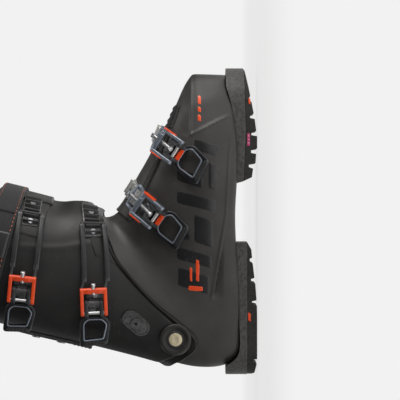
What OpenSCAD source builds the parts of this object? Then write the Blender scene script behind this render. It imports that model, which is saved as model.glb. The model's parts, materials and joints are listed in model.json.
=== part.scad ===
// Alpine ski boot, right foot. Millimetres, +X towards the toe, +Y towards the medial side, +Z up.
// The origin lies on the ground, on the sole's centre line, straight below the ankle pivot.

/* [Boot] */
// Length of the sole from the front of the toe lip to the back of the heel
sole_length = 305; // [255:1:370]
// Largest width of the lower shell
shell_width = 106; // [88:1:128]
// Height of the rear of the cuff above the ground
cuff_height = 300; // [260:1:350]
// Height of the ankle pivot above the ground
pivot_height = 80.4; // [78:0.1:84]

/* [Walls] */
// Wall thickness of the lower shell
shell_wall = 4.5; // [3.5:0.1:5.5]
// Wall thickness of the cuff
cuff_wall = 3.8; // [3:0.1:4.8]
// Gap between the lower shell and the cuff beside the pivot
cuff_gap = 1.2; // [0.8:0.1:1.6]
// Foam thickness of the liner
liner_wall = 7; // [5:0.5:9]
// Thickness of the outer flap that laps over the instep
flap_wall = 3; // [2:0.1:3.6]

/* [Sole] */
// Width of the sole pads, as the bindings need it
sole_width = 69; // [62:0.5:76]
// Height of the two binding ledges above the ground
ledge_height = 31; // [29.5:0.1:32]
// Depth of the grooves between the lugs
lug_depth = 5; // [3:0.1:6]
// Radius of the sole screws
sole_screw_r = 2.5; // [2:0.1:3.2]

/* [Buckles] */
// Length of a buckle lever from its axle to its tail
lever_length = 44; // [42:1:60]
// Width of a lever across its loop
lever_width = 31; // [29:0.5:36]
// Thickness of a lever
lever_thick = 4.2; // [3.4:0.1:5]
// Radius of the lever axles
axle_r = 1.8; // [1.4:0.05:2.2]
// Radius of the pins between lever and bail
link_pin_r = 1.6; // [1.2:0.05:1.9]
// Distance between a lever's axle and its link pin
link_offset = 9; // [8.6:0.1:11]
// Spacing of the ladder teeth
tooth_pitch = 7; // [6.6:0.1:8.5]

/* [Pivot] */
// Radius of the ankle pivot bolts
pivot_r = 5; // [4:0.1:6]
// Radius of the bushes that turn on them
bush_r = 7.5; // [6.8:0.1:8.4]

/* [Hidden] */
$fn = 48;

charcoal = [0.16, 0.16, 0.15];
graphite = [0.10, 0.10, 0.10];
black = [0.05, 0.05, 0.05];
orange = [0.93, 0.33, 0.10];
steel = [0.62, 0.62, 0.63];
brass = [0.85, 0.78, 0.62];

run_gap = 0.05;   // radial clearance of a pin in its bore
seat_gap = 0.35;  // clearance between pieces that lie on each other
gap_growth = 0.045; // how fast the cuff gap opens away from the pivot
link_angle = 150; // direction from axle to link pin with the lever closed

// ---- The body surface -------------------------------------------------------------------------
// Stations run from the toe, over the instep and heel, and up the leg. Each is one slanting section:
// [front x, front z, back x, back z, half width, centre y, widest at, front roundness, back roundness,
//  back width share]. The front line is the instep and shin, the back line the sole, heel and calf.
STATIONS = [
    [262.5, 63.5, 261.5, 31.6, 17, 3, 0.50, 5.0, 4.0, 0.80],
    [259.5, 66.5, 259.5, 31.3, 27, 3, 0.50, 4.0, 3.2, 0.80],
    [250.0, 72.5, 250.0, 31.2, 35, 3, 0.52, 3.2, 2.8, 0.80],
    [232.0, 80.5, 230.0, 25.6, 44, 3, 0.58, 2.7, 2.6, 0.79],
    [208.0, 91.0, 198.0, 20.8, 51, 2, 0.66, 2.4, 2.4, 0.76],
    [183.0, 102.5, 163.0, 20.2, 53, 0, 0.70, 2.3, 2.2, 0.72],
    [158.0, 116.5, 124.0, 22.0, 50.5, -1, 0.70, 2.2, 2.2, 0.68],
    [140.0, 127.0, 90.0, 21.0, 47, -1, 0.68, 2.1, 2.2, 0.72],
    [129.0, 134.5, 50.0, 18.5, 44, 0, 0.64, 2.1, 2.2, 0.78],
    [123.0, 141.0, 14.0, 18.0, 41.5, 0, 0.62, 2.1, 2.2, 0.74],
    [120.5, 146.0, -14.0, 18.5, 40, 0, 0.60, 2.1, 2.2, 0.62],
    [120.0, 150.0, -27.0, 34.0, 40, 0, 0.58, 2.1, 2.3, 0.34],
    [121.0, 154.0, -29.0, 60.0, 41, 0, 0.56, 2.1, 2.3, 0.14],
    [124.0, 159.5, -22.5, 90.0, 41.5, 0, 0.54, 2.1, 2.3, 0.05],
    [125.0, 168.0, -11.5, 125.0, 43, 0, 0.53, 2.2, 2.3, 0.03],
    [125.0, 180.0, 0.2, 163.0, 44, 0, 0.52, 2.2, 2.3, 0.03],
    [124.5, 198.0, 12.5, 205.0, 45, 0, 0.51, 2.2, 2.3, 0.03],
    [131.0, 226.0, 24.5, 250.0, 46.5, 0, 0.50, 2.2, 2.3, 0.03],
    [139.0, 258.0, 37.0, 300.0, 48, 0, 0.50, 2.2, 2.3, 0.03],
    [144.5, 280.0, 42.5, 323.0, 48.5, 0, 0.50, 2.2, 2.3, 0.03]
];
last_station = len(STATIONS) - 1;
ref_length = 305;
ref_width = 106;
ref_cuff = 300;
leg_start = 100; // heights above this one follow cuff_height
x_scale = sole_length / ref_length;
y_scale = shell_width / ref_width;
leg_scale = (cuff_height - leg_start) / (ref_cuff - leg_start);

function up(z) = z <= leg_start ? z : leg_start + (z - leg_start) * leg_scale;
function mix(a, b, t) = a + (b - a) * t;
function unit(v) = v / norm(v);
function spline(a, b, c, d, t) =
    (2 * b + (c - a) * t + (2 * a - 5 * b + 4 * c - d) * t * t + (3 * b - a - 3 * c + d) * t * t * t) / 2;
function row(i) = STATIONS[max(0, min(last_station, i))];
function station(s) =
    let (i = max(0, min(last_station - 1, floor(s))))
    spline(row(i - 1), row(i), row(i + 1), row(i + 2), s - i);

// A point of the body surface: s counts stations, g runs round the girth from 0 at the front line to
// -1 (lateral) or 1 (medial) at the back line, out moves it outwards, and lift flattens it that far in
// front of the back line.
function body_point(s, g, out = 0, lift = 0) =
    let (
        v = station(s),
        a = min(1, abs(g)),
        front = [v[0] * x_scale, up(v[1])],
        back = [v[2] * x_scale, up(v[3])],
        along = unit(back - front),
        f = front - along * out,
        b = back + along * out,
        most = 1 - lift / norm(b - f),
        angle = a <= 0.5 ? a * 180 : (a - 0.5) * 180,
        reach = a <= 0.5 ? v[6] * (1 - pow(cos(angle), 2 / v[7]))
                         : v[6] + (1 - v[6]) * pow(sin(angle), 2 / v[8]),
        t = min(most, reach),
        share = a <= 0.5 ? pow(sin(angle), 2 / v[7]) : v[9] + (1 - v[9]) * pow(cos(angle), 2 / v[8]),
        p = mix(f, b, t)
    )
    [p[0], v[5] * y_scale + sign(g) * share * (v[4] * y_scale + out), p[1]];

// How far the cuff's inner face stands off the body surface: more, further from the pivot.
function cuff_off(s, g) =
    let (p = body_point(s, g)) cuff_gap + gap_growth * min(145, norm([p[0], p[2] - pivot_height]));
function cuff_point(s, g, out) = body_point(s, g, cuff_off(s, g) + out);
function layer_point(layer, s, g, out) = layer == "cuff" ? cuff_point(s, g, cuff_wall + out)
                                                         : body_point(s, g, out);

// ---- Skins ------------------------------------------------------------------------------------
function loop_g(n) = [for (k = [-n:n]) k / n]; // round the girth from one back corner to the other

// A closed skin from two lists of rings, each ring a closed loop of points. With capped, the first
// rings are closed off as the toe of a boot is.
module ring_skin(outer, inner, capped = false) {
    n = len(outer);
    m = len(outer[0]);
    function o(j, k) = j * m + k % m;
    function i(j, k) = (n + j) * m + k % m;
    sides = [for (j = [0:n - 2], k = [0:m - 1])
        each [[o(j, k), o(j + 1, k), o(j + 1, k + 1)], [o(j, k), o(j + 1, k + 1), o(j, k + 1)],
              [i(j, k), i(j + 1, k + 1), i(j + 1, k)], [i(j, k), i(j, k + 1), i(j + 1, k + 1)]]];
    rim = [for (k = [0:m - 1])
        each [[o(n - 1, k), i(n - 1, k), i(n - 1, k + 1)], [o(n - 1, k), i(n - 1, k + 1), o(n - 1, k + 1)]]];
    foot = [for (k = [0:m - 1])
        each [[o(0, k), i(0, k + 1), i(0, k)], [o(0, k), o(0, k + 1), i(0, k + 1)]]];
    caps = [[for (k = [0:m - 1]) o(0, k)], [for (k = [m - 1:-1:0]) i(0, k)]];
    polyhedron([each [for (r = outer) each r], each [for (r = inner) each r]],
               concat(sides, rim, capped ? caps : foot), convexity = 8);
}

// A closed slab from two grids of points, the outer face and the inner one.
module grid_slab(outer, inner) {
    n = len(outer);
    m = len(outer[0]);
    function o(j, k) = j * m + k;
    function i(j, k) = (n + j) * m + k;
    faces = [for (j = [0:n - 2], k = [0:m - 2])
        each [[o(j, k), o(j + 1, k), o(j + 1, k + 1)], [o(j, k), o(j + 1, k + 1), o(j, k + 1)],
              [i(j, k), i(j + 1, k + 1), i(j + 1, k)], [i(j, k), i(j, k + 1), i(j + 1, k + 1)]]];
    ends = [for (j = [0, n - 1], k = [0:m - 2])
        each j == 0 ? [[o(j, k), o(j, k + 1), i(j, k + 1)], [o(j, k), i(j, k + 1), i(j, k)]]
                    : [[o(j, k), i(j, k + 1), o(j, k + 1)], [o(j, k), i(j, k), i(j, k + 1)]]];
    edges = [for (k = [0, m - 1], j = [0:n - 2])
        each k == 0 ? [[o(j, k), i(j + 1, k), o(j + 1, k)], [o(j, k), i(j, k), i(j + 1, k)]]
                    : [[o(j, k), o(j + 1, k), i(j + 1, k)], [o(j, k), i(j + 1, k), i(j, k)]]];
    polyhedron([each [for (r = outer) each r], each [for (r = inner) each r]],
               concat(faces, ends, edges), convexity = 6);
}

// A slab that lies on a layer between stations s0 and s1 and girths g0 and g1.
module patch(layer, s0, s1, g0, g1, low, high, ns, ng) {
    grid_slab([for (j = [0:ns]) [for (k = [0:ng])
                  layer_point(layer, mix(s0, s1, j / ns), mix(g0, g1, k / ng), high)]],
              [for (j = [0:ns]) [for (k = [0:ng])
                  layer_point(layer, mix(s0, s1, j / ns), mix(g0, g1, k / ng), low)]]);
}

// ---- Frames on the surface --------------------------------------------------------------------
// A frame is [along, across, outward, origin]. Paths run straight in (s, g) from spot a to spot b.
function normal_at(layer, s, g) =
    let (
        u = layer_point(layer, s + 0.02, g, 0) - layer_point(layer, s - 0.02, g, 0),
        v = layer_point(layer, s, g + 0.004, 0) - layer_point(layer, s, g - 0.004, 0),
        n = unit(cross(u, v)),
        out = layer_point(layer, s, g, 1) - layer_point(layer, s, g, 0)
    )
    n * out < 0 ? -n : n;
function path_point(layer, a, b, t, out) = layer_point(layer, mix(a[0], b[0], t), mix(a[1], b[1], t), out);
function path_frame(layer, a, b, t, out) =
    let (
        n = normal_at(layer, mix(a[0], b[0], t), mix(a[1], b[1], t)),
        d = path_point(layer, a, b, t + 0.02, 0) - path_point(layer, a, b, t - 0.02, 0),
        across = unit(cross(n, d))
    )
    [cross(across, n), across, n, path_point(layer, a, b, t, 0) + n * out];
function tilt_frame(f, angle) =
    [f[0] * cos(angle) - f[2] * sin(angle), f[1], f[2] * cos(angle) + f[0] * sin(angle), f[3]];
function in_frame(f, p) = f[3] + f[0] * p[0] + f[1] * p[1] + f[2] * p[2];
module place(f) {
    multmatrix([for (k = [0:2]) [f[0][k], f[1][k], f[2][k], f[3][k]]]) children();
}

// A slab that follows a path with a constant width, a rib across it, and a round rod through points.
module strip(layer, a, b, t0, t1, half, low, high, n) {
    function edge(t, side, out) = in_frame(path_frame(layer, a, b, t, out), [0, side * half, 0]);
    grid_slab([for (j = [0:n]) [for (k = [1:-1:-1]) edge(mix(t0, t1, j / n), k, high)]],
              [for (j = [0:n]) [for (k = [1:-1:-1]) edge(mix(t0, t1, j / n), k, low)]]);
}
module rod(points, r, sides = 10) {
    n = len(points);
    function ahead(j) = unit(points[min(n - 1, j + 1)] - points[max(0, j - 1)]);
    function ref() = unit(cross(points[1] - points[0], points[n - 1] - points[0]) + [0.001, 0.002, 0.003]);
    rings = [for (j = [0:n - 1])
        let (d = ahead(j), u = unit(cross(d, ref())), w = cross(d, u))
        [for (k = [0:sides - 1]) points[j] + r * (u * cos(k * 360 / sides) + w * sin(k * 360 / sides))]];
    sidewalls = [for (j = [0:n - 2], k = [0:sides - 1])
        let (a = j * sides + k, b = j * sides + (k + 1) % sides)
        each [[a, b + sides, b], [a, a + sides, b + sides]]];
    polyhedron([for (q = rings) each q],
               concat(sidewalls, [[for (k = [0:sides - 1]) k]],
                      [[for (k = [sides - 1:-1:0]) (n - 1) * sides + k]]), convexity = 6);
}

// ---- Buckles ----------------------------------------------------------------------------------
// [layer, spot of the axle, spot of the crossbar, tilt of the lever, height of the ladder's foot]
INSTEP = ["shell", [7.12, -0.285], [6.76, -0.155], -14, flap_wall + 2 * seat_gap];
TOE = ["shell", [4.72, -0.285], [4.45, -0.135], -18.5, flap_wall + 2 * seat_gap];
LOWER = ["cuff", [14.74, -0.580], [13.93, -0.254], -7, seat_gap];
UPPER = ["cuff", [16.68, -0.604], [16.83, -0.262], -7, seat_gap];
axle_height = 8;
tooth_height = 3;
ladder_thick = 2;
bar_r = 1.7;
ear_in = 5.4;
ear_out = 9.4;
arm_in = 9.8;
arm_out = 13.2;
link_x = link_offset * cos(link_angle);
link_z = link_offset * sin(link_angle);

function span(q) = norm(path_point(q[0], q[1], q[2], 1, 0) - path_point(q[0], q[1], q[2], 0, 0));
function axle_frame(q) = // the lever's frame: along it points at the crossbar
    let (
        f = path_frame(q[0], q[1], q[2], 0, axle_height),
        side = unit(cross(f[2], path_point(q[0], q[1], q[2], 1, 0) - path_point(q[0], q[1], q[2], 0, 0)))
    )
    tilt_frame([cross(side, f[2]), side, f[2], f[3]], q[3]);
function bar_out(q) = q[4] + ladder_thick + bar_r + 0.15;

module across(y0, y1) { // a profile drawn in the frame's (along, outward) plane, from y0 to y1
    translate([0, y1, 0])
        rotate([90, 0, 0])
            linear_extrude(y1 - y0)
                children();
}
module link2d(a, ra, b, rb) { // two circles blended into one outline
    hull() {
        translate(a)
            circle(r = ra);
        translate(b)
            circle(r = rb);
    }
}
module bar(a, b, r) { // a straight round bar between two points
    d = b - a;
    translate(a)
        rotate([0, acos(d[2] / norm(d)), atan2(d[1], d[0])])
            cylinder(r = r, h = norm(d));
}
module cross_pin(r, half, x = 0, z = 0) {
    translate([x, half, z])
        rotate([90, 0, 0])
            cylinder(r = r, h = 2 * half);
}
module rivet_holes(q, ts) {
    for (t = ts)
        place(path_frame(q[0], q[1], q[2], t, 0))
            translate([0, 0, -12])
                cylinder(r = 2.05, h = 24);
}
function base_ts(q) = [-8 / span(q), 8 / span(q)];
function ladder_ts(q) = q[0] == "cuff" ? [1 - 9 / span(q), 1 + 16.4 / span(q)] : [1 + 12.5 / span(q)];
module rivet(q, t, out, depth) {
    place(path_frame(q[0], q[1], q[2], t, 0)) {
        translate([0, 0, -depth - 0.5])
            cylinder(r = 1.98, h = depth + out + 1.2);
        translate([0, 0, out + 0.4])
            cylinder(r1 = 3.4, r2 = 2.6, h = 1.1);
        translate([0, 0, -depth - 0.9])
            cylinder(r = 3, h = 0.5);
    }
}
module buckle_rivets(q, wall) {
    for (t = base_ts(q))
        rivet(q, t, seat_gap + 2, wall);
    for (t = ladder_ts(q))
        rivet(q, t, q[4] + ladder_thick, wall);
}
module buckle_base(q) {
    n = span(q);
    difference() {
        union() {
            strip(q[0], q[1], q[2], -11.5 / n, 11.5 / n, 8, seat_gap, seat_gap + 2, 6);
            place(axle_frame(q))
                across(-5, 5)
                    union() {
                        circle(r = 4.4);
                        polygon([[-4.4, 0], [4.4, 0], [3.4, 1.4 - axle_height], [-3.4, 1.4 - axle_height]]);
                    }
        }
        place(axle_frame(q))
            cross_pin(axle_r + 0.01, 20);
        rivet_holes(q, base_ts(q));
    }
}
module ladder(q, count, ahead, behind, half) {
    n = span(q);
    difference() {
        union() {
            strip(q[0], q[1], q[2], 1 - behind / n, 1 + ahead / n, half, q[4], q[4] + ladder_thick, 8);
            for (k = [0:count - 1])
                place(path_frame(q[0], q[1], q[2], 1 + (k * tooth_pitch - bar_r - 0.2) / n,
                                 q[4] + ladder_thick - 0.4))
                    across(-half + 1, half - 1)
                        polygon([[-3, 0], [-0.6, tooth_height + 0.4], [0, tooth_height + 0.4], [0, 0]]);
        }
        rivet_holes(q, ladder_ts(q));
    }
}
module axle(q) {
    place(axle_frame(q))
        cross_pin(axle_r, ear_out - 0.1);
}
module lever(q) {
    place(axle_frame(q))
        difference() {
            union() {
                translate([0, 0, -1.2])
                    linear_extrude(lever_thick)
                        difference() {
                            union() {
                                link2d([7 - lever_length, 7 - lever_width / 2], 7,
                                       [7 - lever_length, lever_width / 2 - 7], 7);
                                polygon([[7 - lever_length, -lever_width / 2], [-17, -lever_width / 2],
                                         [-12.6, 4 - lever_width / 2], [-12.6, lever_width / 2 - 4],
                                         [-17, lever_width / 2], [7 - lever_length, lever_width / 2]]);
                            }
                            union() {
                                link2d([15 - lever_length, 9 - lever_width / 2], 3.6,
                                       [15 - lever_length, lever_width / 2 - 9], 3.6);
                                polygon([[15 - lever_length, 5.4 - lever_width / 2], [-24, 5.4 - lever_width / 2],
                                         [-18, -3.4], [-18, 3.4],
                                         [-24, lever_width / 2 - 5.4], [15 - lever_length, lever_width / 2 - 5.4]]);
                            }
                        }
                for (y = [-ear_out, ear_in])
                    across(y, y + ear_out - ear_in)
                        union() {
                            link2d([0, 0], 4.2, [link_x, link_z], 3.3);
                            polygon([[0, -4.2], [0, 4], [link_x, link_z + 3.3], [-16, 2.9], [-16, -1.1]]);
                        }
            }
            cross_pin(axle_r + run_gap, 20);
            cross_pin(link_pin_r + 0.01, 20, link_x, link_z);
        }
}
module lever_grip(q) {
    place(axle_frame(q))
        translate([0, 0, lever_thick - 1.2 + 0.05])
            linear_extrude(1.5)
                link2d([5.7 - lever_length, 7 - lever_width / 2], 4.2,
                       [5.7 - lever_length, lever_width / 2 - 7], 4.2);
}
module link_pin(q) {
    place(axle_frame(q))
        cross_pin(link_pin_r, arm_out - 0.2, link_x, link_z);
}
module yoke(q) {
    place(axle_frame(q))
        difference() {
            across(-arm_out, arm_out)
                link2d([link_x, link_z], 3.2, [14, 1.2], 2.8);
            translate([-30, -arm_in, -20])
                cube([41.4, 2 * arm_in, 40]);
            cross_pin(link_pin_r + run_gap, 20, link_x, link_z);
        }
}
module bail(q, wide, centre) {
    layer = q[0];
    f = axle_frame(q);
    e = path_frame(layer, q[1], q[2], 1, bar_out(q));
    first = 24 / span(q);
    function leg(t, side) =
        in_frame(path_frame(layer, q[1], q[2], t, mix(axle_height + 0.5, bar_out(q), min(1, t / 0.9))),
                 [0, side * mix(arm_in + 1.7, wide, t), 0]);
    function side_path(side) = [
        in_frame(f, [14.5, side * (arm_in + 1.7), 1.2]),
        for (t = first < 0.8 ? [first, (2 * first + 0.9) / 3, (first + 1.8) / 3, 0.9] : [0.78]) leg(t, side),
        in_frame(e, [-1.4, side * wide, 0]),
        in_frame(e, [-0.4, side * (wide - 0.4), 0]),
        in_frame(e, [0, side * (wide - 1.4), 0])
    ];
    back = side_path(1);
    rod(concat(side_path(-1), [for (k = [len(back) - 1:-1:0]) back[k]]), bar_r, 8);
    if (centre) {
        bar(in_frame(f, [16.6, 0, 2.2]), in_frame(e, [1.2, 0, 5.4]), 1.6);
        place(e)
            across(-2.2, 2.2)
                translate([-1.4, 0.8])
                    square([3.2, 6.2]);
    }
}

// ---- Lower shell and what is fixed to it --------------------------------------------------------
ring_n = 18;
girth = loop_g(ring_n);
shell_top = [[0, 12.8], [0.25, 13.4], [0.5, 14], [1, 14]];
boss_face = 41.5;
function shell_rings(out, first, n) =
    [for (j = [0:n]) [for (g = girth)
        body_point(mix(first, lookup(abs(g), shell_top), j / n), g, out)]];

module pivot_cylinders(r, y0, y1) {
    for (side = [-1, 1])
        translate([0, side * y0, pivot_height])
            rotate([-side * 90, 0, 0])
                cylinder(r = r, h = y1 - y0);
}
module lower_shell() {
    color(charcoal)
    difference() {
        union() {
            ring_skin(shell_rings(0, 0, 28), shell_rings(-shell_wall, 1.25, 28), true);
            pivot_cylinders(12, 34.5, boss_face);
        }
        pivot_cylinders(pivot_r + 0.01, 20, 60);
        pivot_cylinders(9.4, 20, 34.6);
        rivet_holes(INSTEP, concat(base_ts(INSTEP), ladder_ts(INSTEP)));
        rivet_holes(TOE, concat(base_ts(TOE), ladder_ts(TOE)));
        for (p = SCREWS)
            translate([p[0] * x_scale, p[1], 10])
                cylinder(r = sole_screw_r + 0.01, h = 30);
    }
}
module overlap_flap() {
    color(charcoal)
    difference() {
        patch("shell", 4.15, 8.5, -0.19, 0.42, seat_gap, seat_gap + flap_wall, 12, 12);
        rivet_holes(INSTEP, ladder_ts(INSTEP));
        rivet_holes(TOE, ladder_ts(TOE));
    }
}
module toe_gasket() {
    color(graphite)
    patch("shell", 2.95, 4.08, -0.20, 0.24, seat_gap, seat_gap + 1.4, 5, 8);
}

// The sole pads: a side profile and a plan outline, crossed.
SCREWS = [[238, -20], [238, 20], [172, -24], [172, 24], [80, -17], [80, 17], [-10, -16], [-10, 16]];
toe_tip = 268.6 * x_scale;
heel_back = toe_tip - sole_length;
half_sole = sole_width / 2;
function sx(points) = [for (p = points) [p[0] * x_scale, p[1] <= 30 ? p[1] : p[1] - 31 + ledge_height]];
module toe_plan(inset = 0) {
    translate([toe_tip - half_sole, 0])
        circle(r = half_sole - inset);
    translate([153.8 * x_scale + inset, inset - half_sole])
        square([toe_tip - half_sole - 153.8 * x_scale - inset, 2 * half_sole - 2 * inset]);
}
module heel_plan(inset = 0) {
    hull() {
        for (y = [-1, 1])
            translate([heel_back + 24, y * (half_sole - 24)])
                circle(r = 24 - inset);
        translate([95.2 * x_scale - inset - 4, inset - half_sole])
            square([4, 2 * half_sole - 2 * inset]);
    }
}
module pad(points, inset = 0, heel = false) {
    intersection() {
        across(-60, 60)
            polygon(sx(points));
        linear_extrude(80)
            if (heel) heel_plan(inset);
            else toe_plan(inset);
    }
}
module screw_holes(from, to, r) {
    for (k = [from:to])
        translate([SCREWS[k][0] * x_scale, SCREWS[k][1], -1])
            cylinder(r = r, h = 60);
}
module toe_sole_plate() {
    color(graphite)
    difference() {
        pad([[153.8, 20], [155.6, 13.2], [207, 11], [240, 12.2], [266.8, 12.8], [268.6, 14],
             [268.6, 30.3], [268, 31], [263.2, 31], [262.6, 30.9], [250, 30.7], [246, 29.6], [242, 28.3],
             [238, 27], [230, 25.1], [220, 23.2], [207, 21.2], [198, 20.3], [190, 19.8], [180, 19.6],
             [163, 19.7]]);
        screw_holes(0, 3, sole_screw_r + 0.01);
    }
}
module toe_sole_rubber() {
    color(black)
    difference() {
        pad([[155.8, 12.9], [159.5, 5.1], [168, 4], [169.5, 8.2], [172.5, 8.2], [173.4, 1.6], [182.5, 1],
             [183.5, 6], [187, 6], [188, 0], [200, 0], [201, 5.6], [204.5, 5.6], [205.4, 0.9], [217, 2.4],
             [218, 7], [221.5, 7.2], [222.6, 3.4], [234, 5.6], [235, 9], [238.5, 9.3], [239.6, 6.8],
             [248, 8.4], [266, 12.2], [266.6, 12.45], [240, 11.85], [207, 10.65]], 0.6);
        screw_holes(0, 3, 5);
    }
}
module heel_sole_plate() {
    color(graphite)
    difference() {
        pad([[95.2, 20.8], [95.2, 9.6], [-36.4, 9.6], [-36.4, 30.4], [-35.8, 31], [-29.6, 31],
             [-26.6, 29.4], [-24.8, 27], [-21.7, 22.8], [-18.6, 20.1], [-14.4, 18], [-7, 16.8],
             [0, 16.8], [14, 17.5], [32, 17.6], [50, 18], [65, 18.9], [80, 19.9]], 0, true);
        screw_holes(4, 7, sole_screw_r + 0.01);
    }
}
module heel_sole_rubber() {
    color(black)
    difference() {
        pad([[94.4, 9.25], [88, 5.7], [80, 5], [79, 7.4], [75.5, 7.4], [74.5, 4.4], [60, 2.6], [59, 6],
             [55.5, 6], [54.5, 1.8], [38, 0.6], [37, 5], [33.5, 5], [32.5, 0.2], [20, 0], [-20, 0],
             [-21, lug_depth], [-24, lug_depth], [-25, 0.4], [-34.4, 2.4], [-36, 6], [-36, 9.25]], 0.5, true);
        screw_holes(4, 7, 5);
    }
}
module sole_screws() {
    color(steel)
    for (p = SCREWS)
        translate([p[0] * x_scale, p[1], 0]) {
            heel = p[0] < 120;
            translate([0, 0, heel ? 9.2 : 11.2])
                cylinder(r = sole_screw_r, h = p[0] > 200 ? 18 : 14);
            difference() {
                translate([0, 0, heel ? 7 : 8.4])
                    cylinder(r = 4.6, h = heel ? 2.5 : 2.9);
                translate([0, 0, 6])
                    cylinder(r = 1.6, h = 2.6, $fn = 6);
            }
        }
}
module sole_badge() {
    color([0.75, 0.2, 0.5])
    translate([190 * x_scale, -half_sole - 0.15, 7])
        cube([13, 0.7, 3]);
}
module boot_board() {
    color([0.35, 0.36, 0.38])
    intersection() {
        across(-60, 60)
            polygon(sx([[-8, 28.4], [14, 29.4], [50, 30.9], [90, 34.1], [124, 36.2], [165, 35.2],
                        [198, 36.1], [222, 39.4], [222, 33], [198, 27], [165, 26.2], [124, 27.6],
                        [90, 26.8], [50, 24.4], [14, 24.2], [-8, 26]]));
        linear_extrude(80)
            hull() {
                translate([8 * x_scale, 0])
                    circle(r = 20);
                translate([168 * x_scale, 0])
                    circle(r = 28);
                translate([203 * x_scale, 2])
                    circle(r = 19);
            }
    }
}
liner_gap = 1.9;
function liner_lift(s) = s < 10.3 ? 10 : s > 12.2 ? 0 : 10 * (12.2 - s) / 1.9;
function liner_rings(out, first, n) =
    [for (j = [0:n]) [for (g = girth)
        let (s = mix(first, lookup(abs(g), shell_top) - 0.1, j / n))
            body_point(s, g, out, liner_lift(s))]];
module liner_foot() {
    color(black)
    difference() {
        ring_skin(liner_rings(-shell_wall - liner_gap, 1.7, 18),
                  liner_rings(-shell_wall - liner_gap - liner_wall, 2.4, 18), true);
        pivot_cylinders(10.5, 30.4, 60);
    }
}
module footbed() {
    color([0.3, 0.3, 0.32])
    intersection() {
        across(-60, 60)
            polygon(sx([[0, 41], [30, 40.4], [60, 42.4], [100, 46.6], [124, 48], [165, 47.4],
                        [205, 49.4], [205, 46.2], [165, 44.4], [124, 45.1], [100, 43.6],
                        [60, 39.2], [30, 37.2], [0, 37.6]]));
        linear_extrude(80)
            hull() {
                translate([22 * x_scale, 0])
                    circle(r = 17);
                translate([160 * x_scale, 0])
                    circle(r = 26);
                translate([186 * x_scale, 2])
                    circle(r = 18);
            }
    }
}
module pivot_bolt(side) {
    color(brass)
    translate([0, side * 32, pivot_height])
        rotate([-side * 90, 0, 0])
            difference() {
                union() {
                    cylinder(r = pivot_r, h = 16.4);
                    cylinder(r = 9, h = 2.4);
                    translate([0, 0, 16.3])
                        cylinder(r = 6.4, h = 1.6);
                }
                translate([0, 0, 14.5])
                    cylinder(r = 2.9, h = 5, $fn = 6);
            }
}
module pivot_bolt_lateral() { pivot_bolt(-1); }
module pivot_bolt_medial() { pivot_bolt(1); }
module shell_rivets() {
    color(steel) {
        buckle_rivets(INSTEP, shell_wall);
        buckle_rivets(TOE, shell_wall);
    }
}
module shell_buckle_axles() {
    color(steel) {
        axle(INSTEP);
        axle(TOE);
    }
}

// ---- Cuff and what is fixed to it ---------------------------------------------------------------
cuff_edge = [[0, 9.7], [0.1, 11.3], [0.2, 12.6], [0.37, 13.0], [0.47, 12.23], [0.54, 11.5], [0.6, 11.2],
             [0.65, 11.1], [0.7, 11.4], [0.77, 12.1], [0.86, 12.7], [1, 13.1]];
function cuff_rings(out, n) =
    [for (j = [0:n]) [for (g = girth) cuff_point(mix(lookup(abs(g), cuff_edge), 18, j / n), g, out)]];
cuff_boss_in = boss_face + 0.6;
cuff_boss_out = 48;
module cuff_shell() {
    color(charcoal)
    difference() {
        union() {
            ring_skin(cuff_rings(cuff_wall, 24), cuff_rings(0, 24));
            pivot_cylinders(15.5, cuff_boss_in, cuff_boss_out);
        }
        pivot_cylinders(13.2, 20, cuff_boss_in);
        pivot_cylinders(bush_r + 0.01, 20, 60);
        rivet_holes(LOWER, concat(base_ts(LOWER), ladder_ts(LOWER)));
        rivet_holes(UPPER, concat(base_ts(UPPER), ladder_ts(UPPER)));
        spine_holes();
        place(cant_frame(0))
            translate([0, 0, -12])
                cylinder(r = 3.02, h = 24);
    }
}
module cuff_flap() {
    color(charcoal)
    patch("cuff", 16.25, 17.95, -0.13, 0.34, seat_gap, seat_gap + 2.6, 5, 10);
}
module pivot_bushes() {
    color(brass)
    for (side = [-1, 1])
        translate([0, side * (boss_face + 0.3), pivot_height])
            rotate([-side * 90, 0, 0])
                difference() {
                    cylinder(r = bush_r, h = 6.4);
                    translate([0, 0, -1])
                        cylinder(r = pivot_r + run_gap, h = 9);
                }
}
CANT = [13.455, -0.6258];
function cant_frame(out) = path_frame("cuff", CANT, CANT + [1, 0.12], 0, out);
module cant_oval(r, h, stretch) {
    linear_extrude(h)
        link2d([-stretch, 0], r, [stretch, 0], r);
}
module cant_ring() {
    color(graphite)
    place(cant_frame(seat_gap))
        difference() {
            cant_oval(8.6, 2, 6.5);
            translate([0, 0, -1])
                cant_oval(7, 5, 6.5);
        }
}
module cant_plate() {
    color(charcoal)
    place(cant_frame(seat_gap))
        difference() {
            cant_oval(6.7, 1.2, 6.5);
            translate([0, 0, -1])
                cylinder(r = 3.05, h = 5);
        }
}
module cant_dial() {
    color(steel)
    place(cant_frame(-cuff_wall - 0.8))
        difference() {
            union() {
                cylinder(r = 3, h = cuff_wall + 3.4);
                translate([0, 0, cuff_wall + 2.6])
                    cylinder(r = 5.2, h = 1.6);
                translate([0, 0, -0.3])
                    cylinder(r = 5, h = 0.8);
            }
            translate([0, 0, cuff_wall + 2.4])
                cylinder(r = 1.6, h = 5, $fn = 6);
        }
}
SPINE_BOLTS = [15.75, 16.3]; // stations
function spine_frame(s) =
    let (
        p = cuff_point(s, 1, cuff_wall),
        q = cuff_point(s + 0.1, 1, cuff_wall),
        d = unit([q[0] - p[0], 0, q[2] - p[2]])
    )
    [d, [0, 1, 0], [-d[2], 0, d[0]], [p[0], 0, p[2]]];
function back_point(s, out) = let (f = spine_frame(s), p = in_frame(f, [0, 0, out])) [p[0], p[2]];
module spine_holes() {
    for (s = SPINE_BOLTS)
        place(spine_frame(s))
            translate([0, 0, -12])
                cylinder(r = 2.51, h = 24);
}
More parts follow.
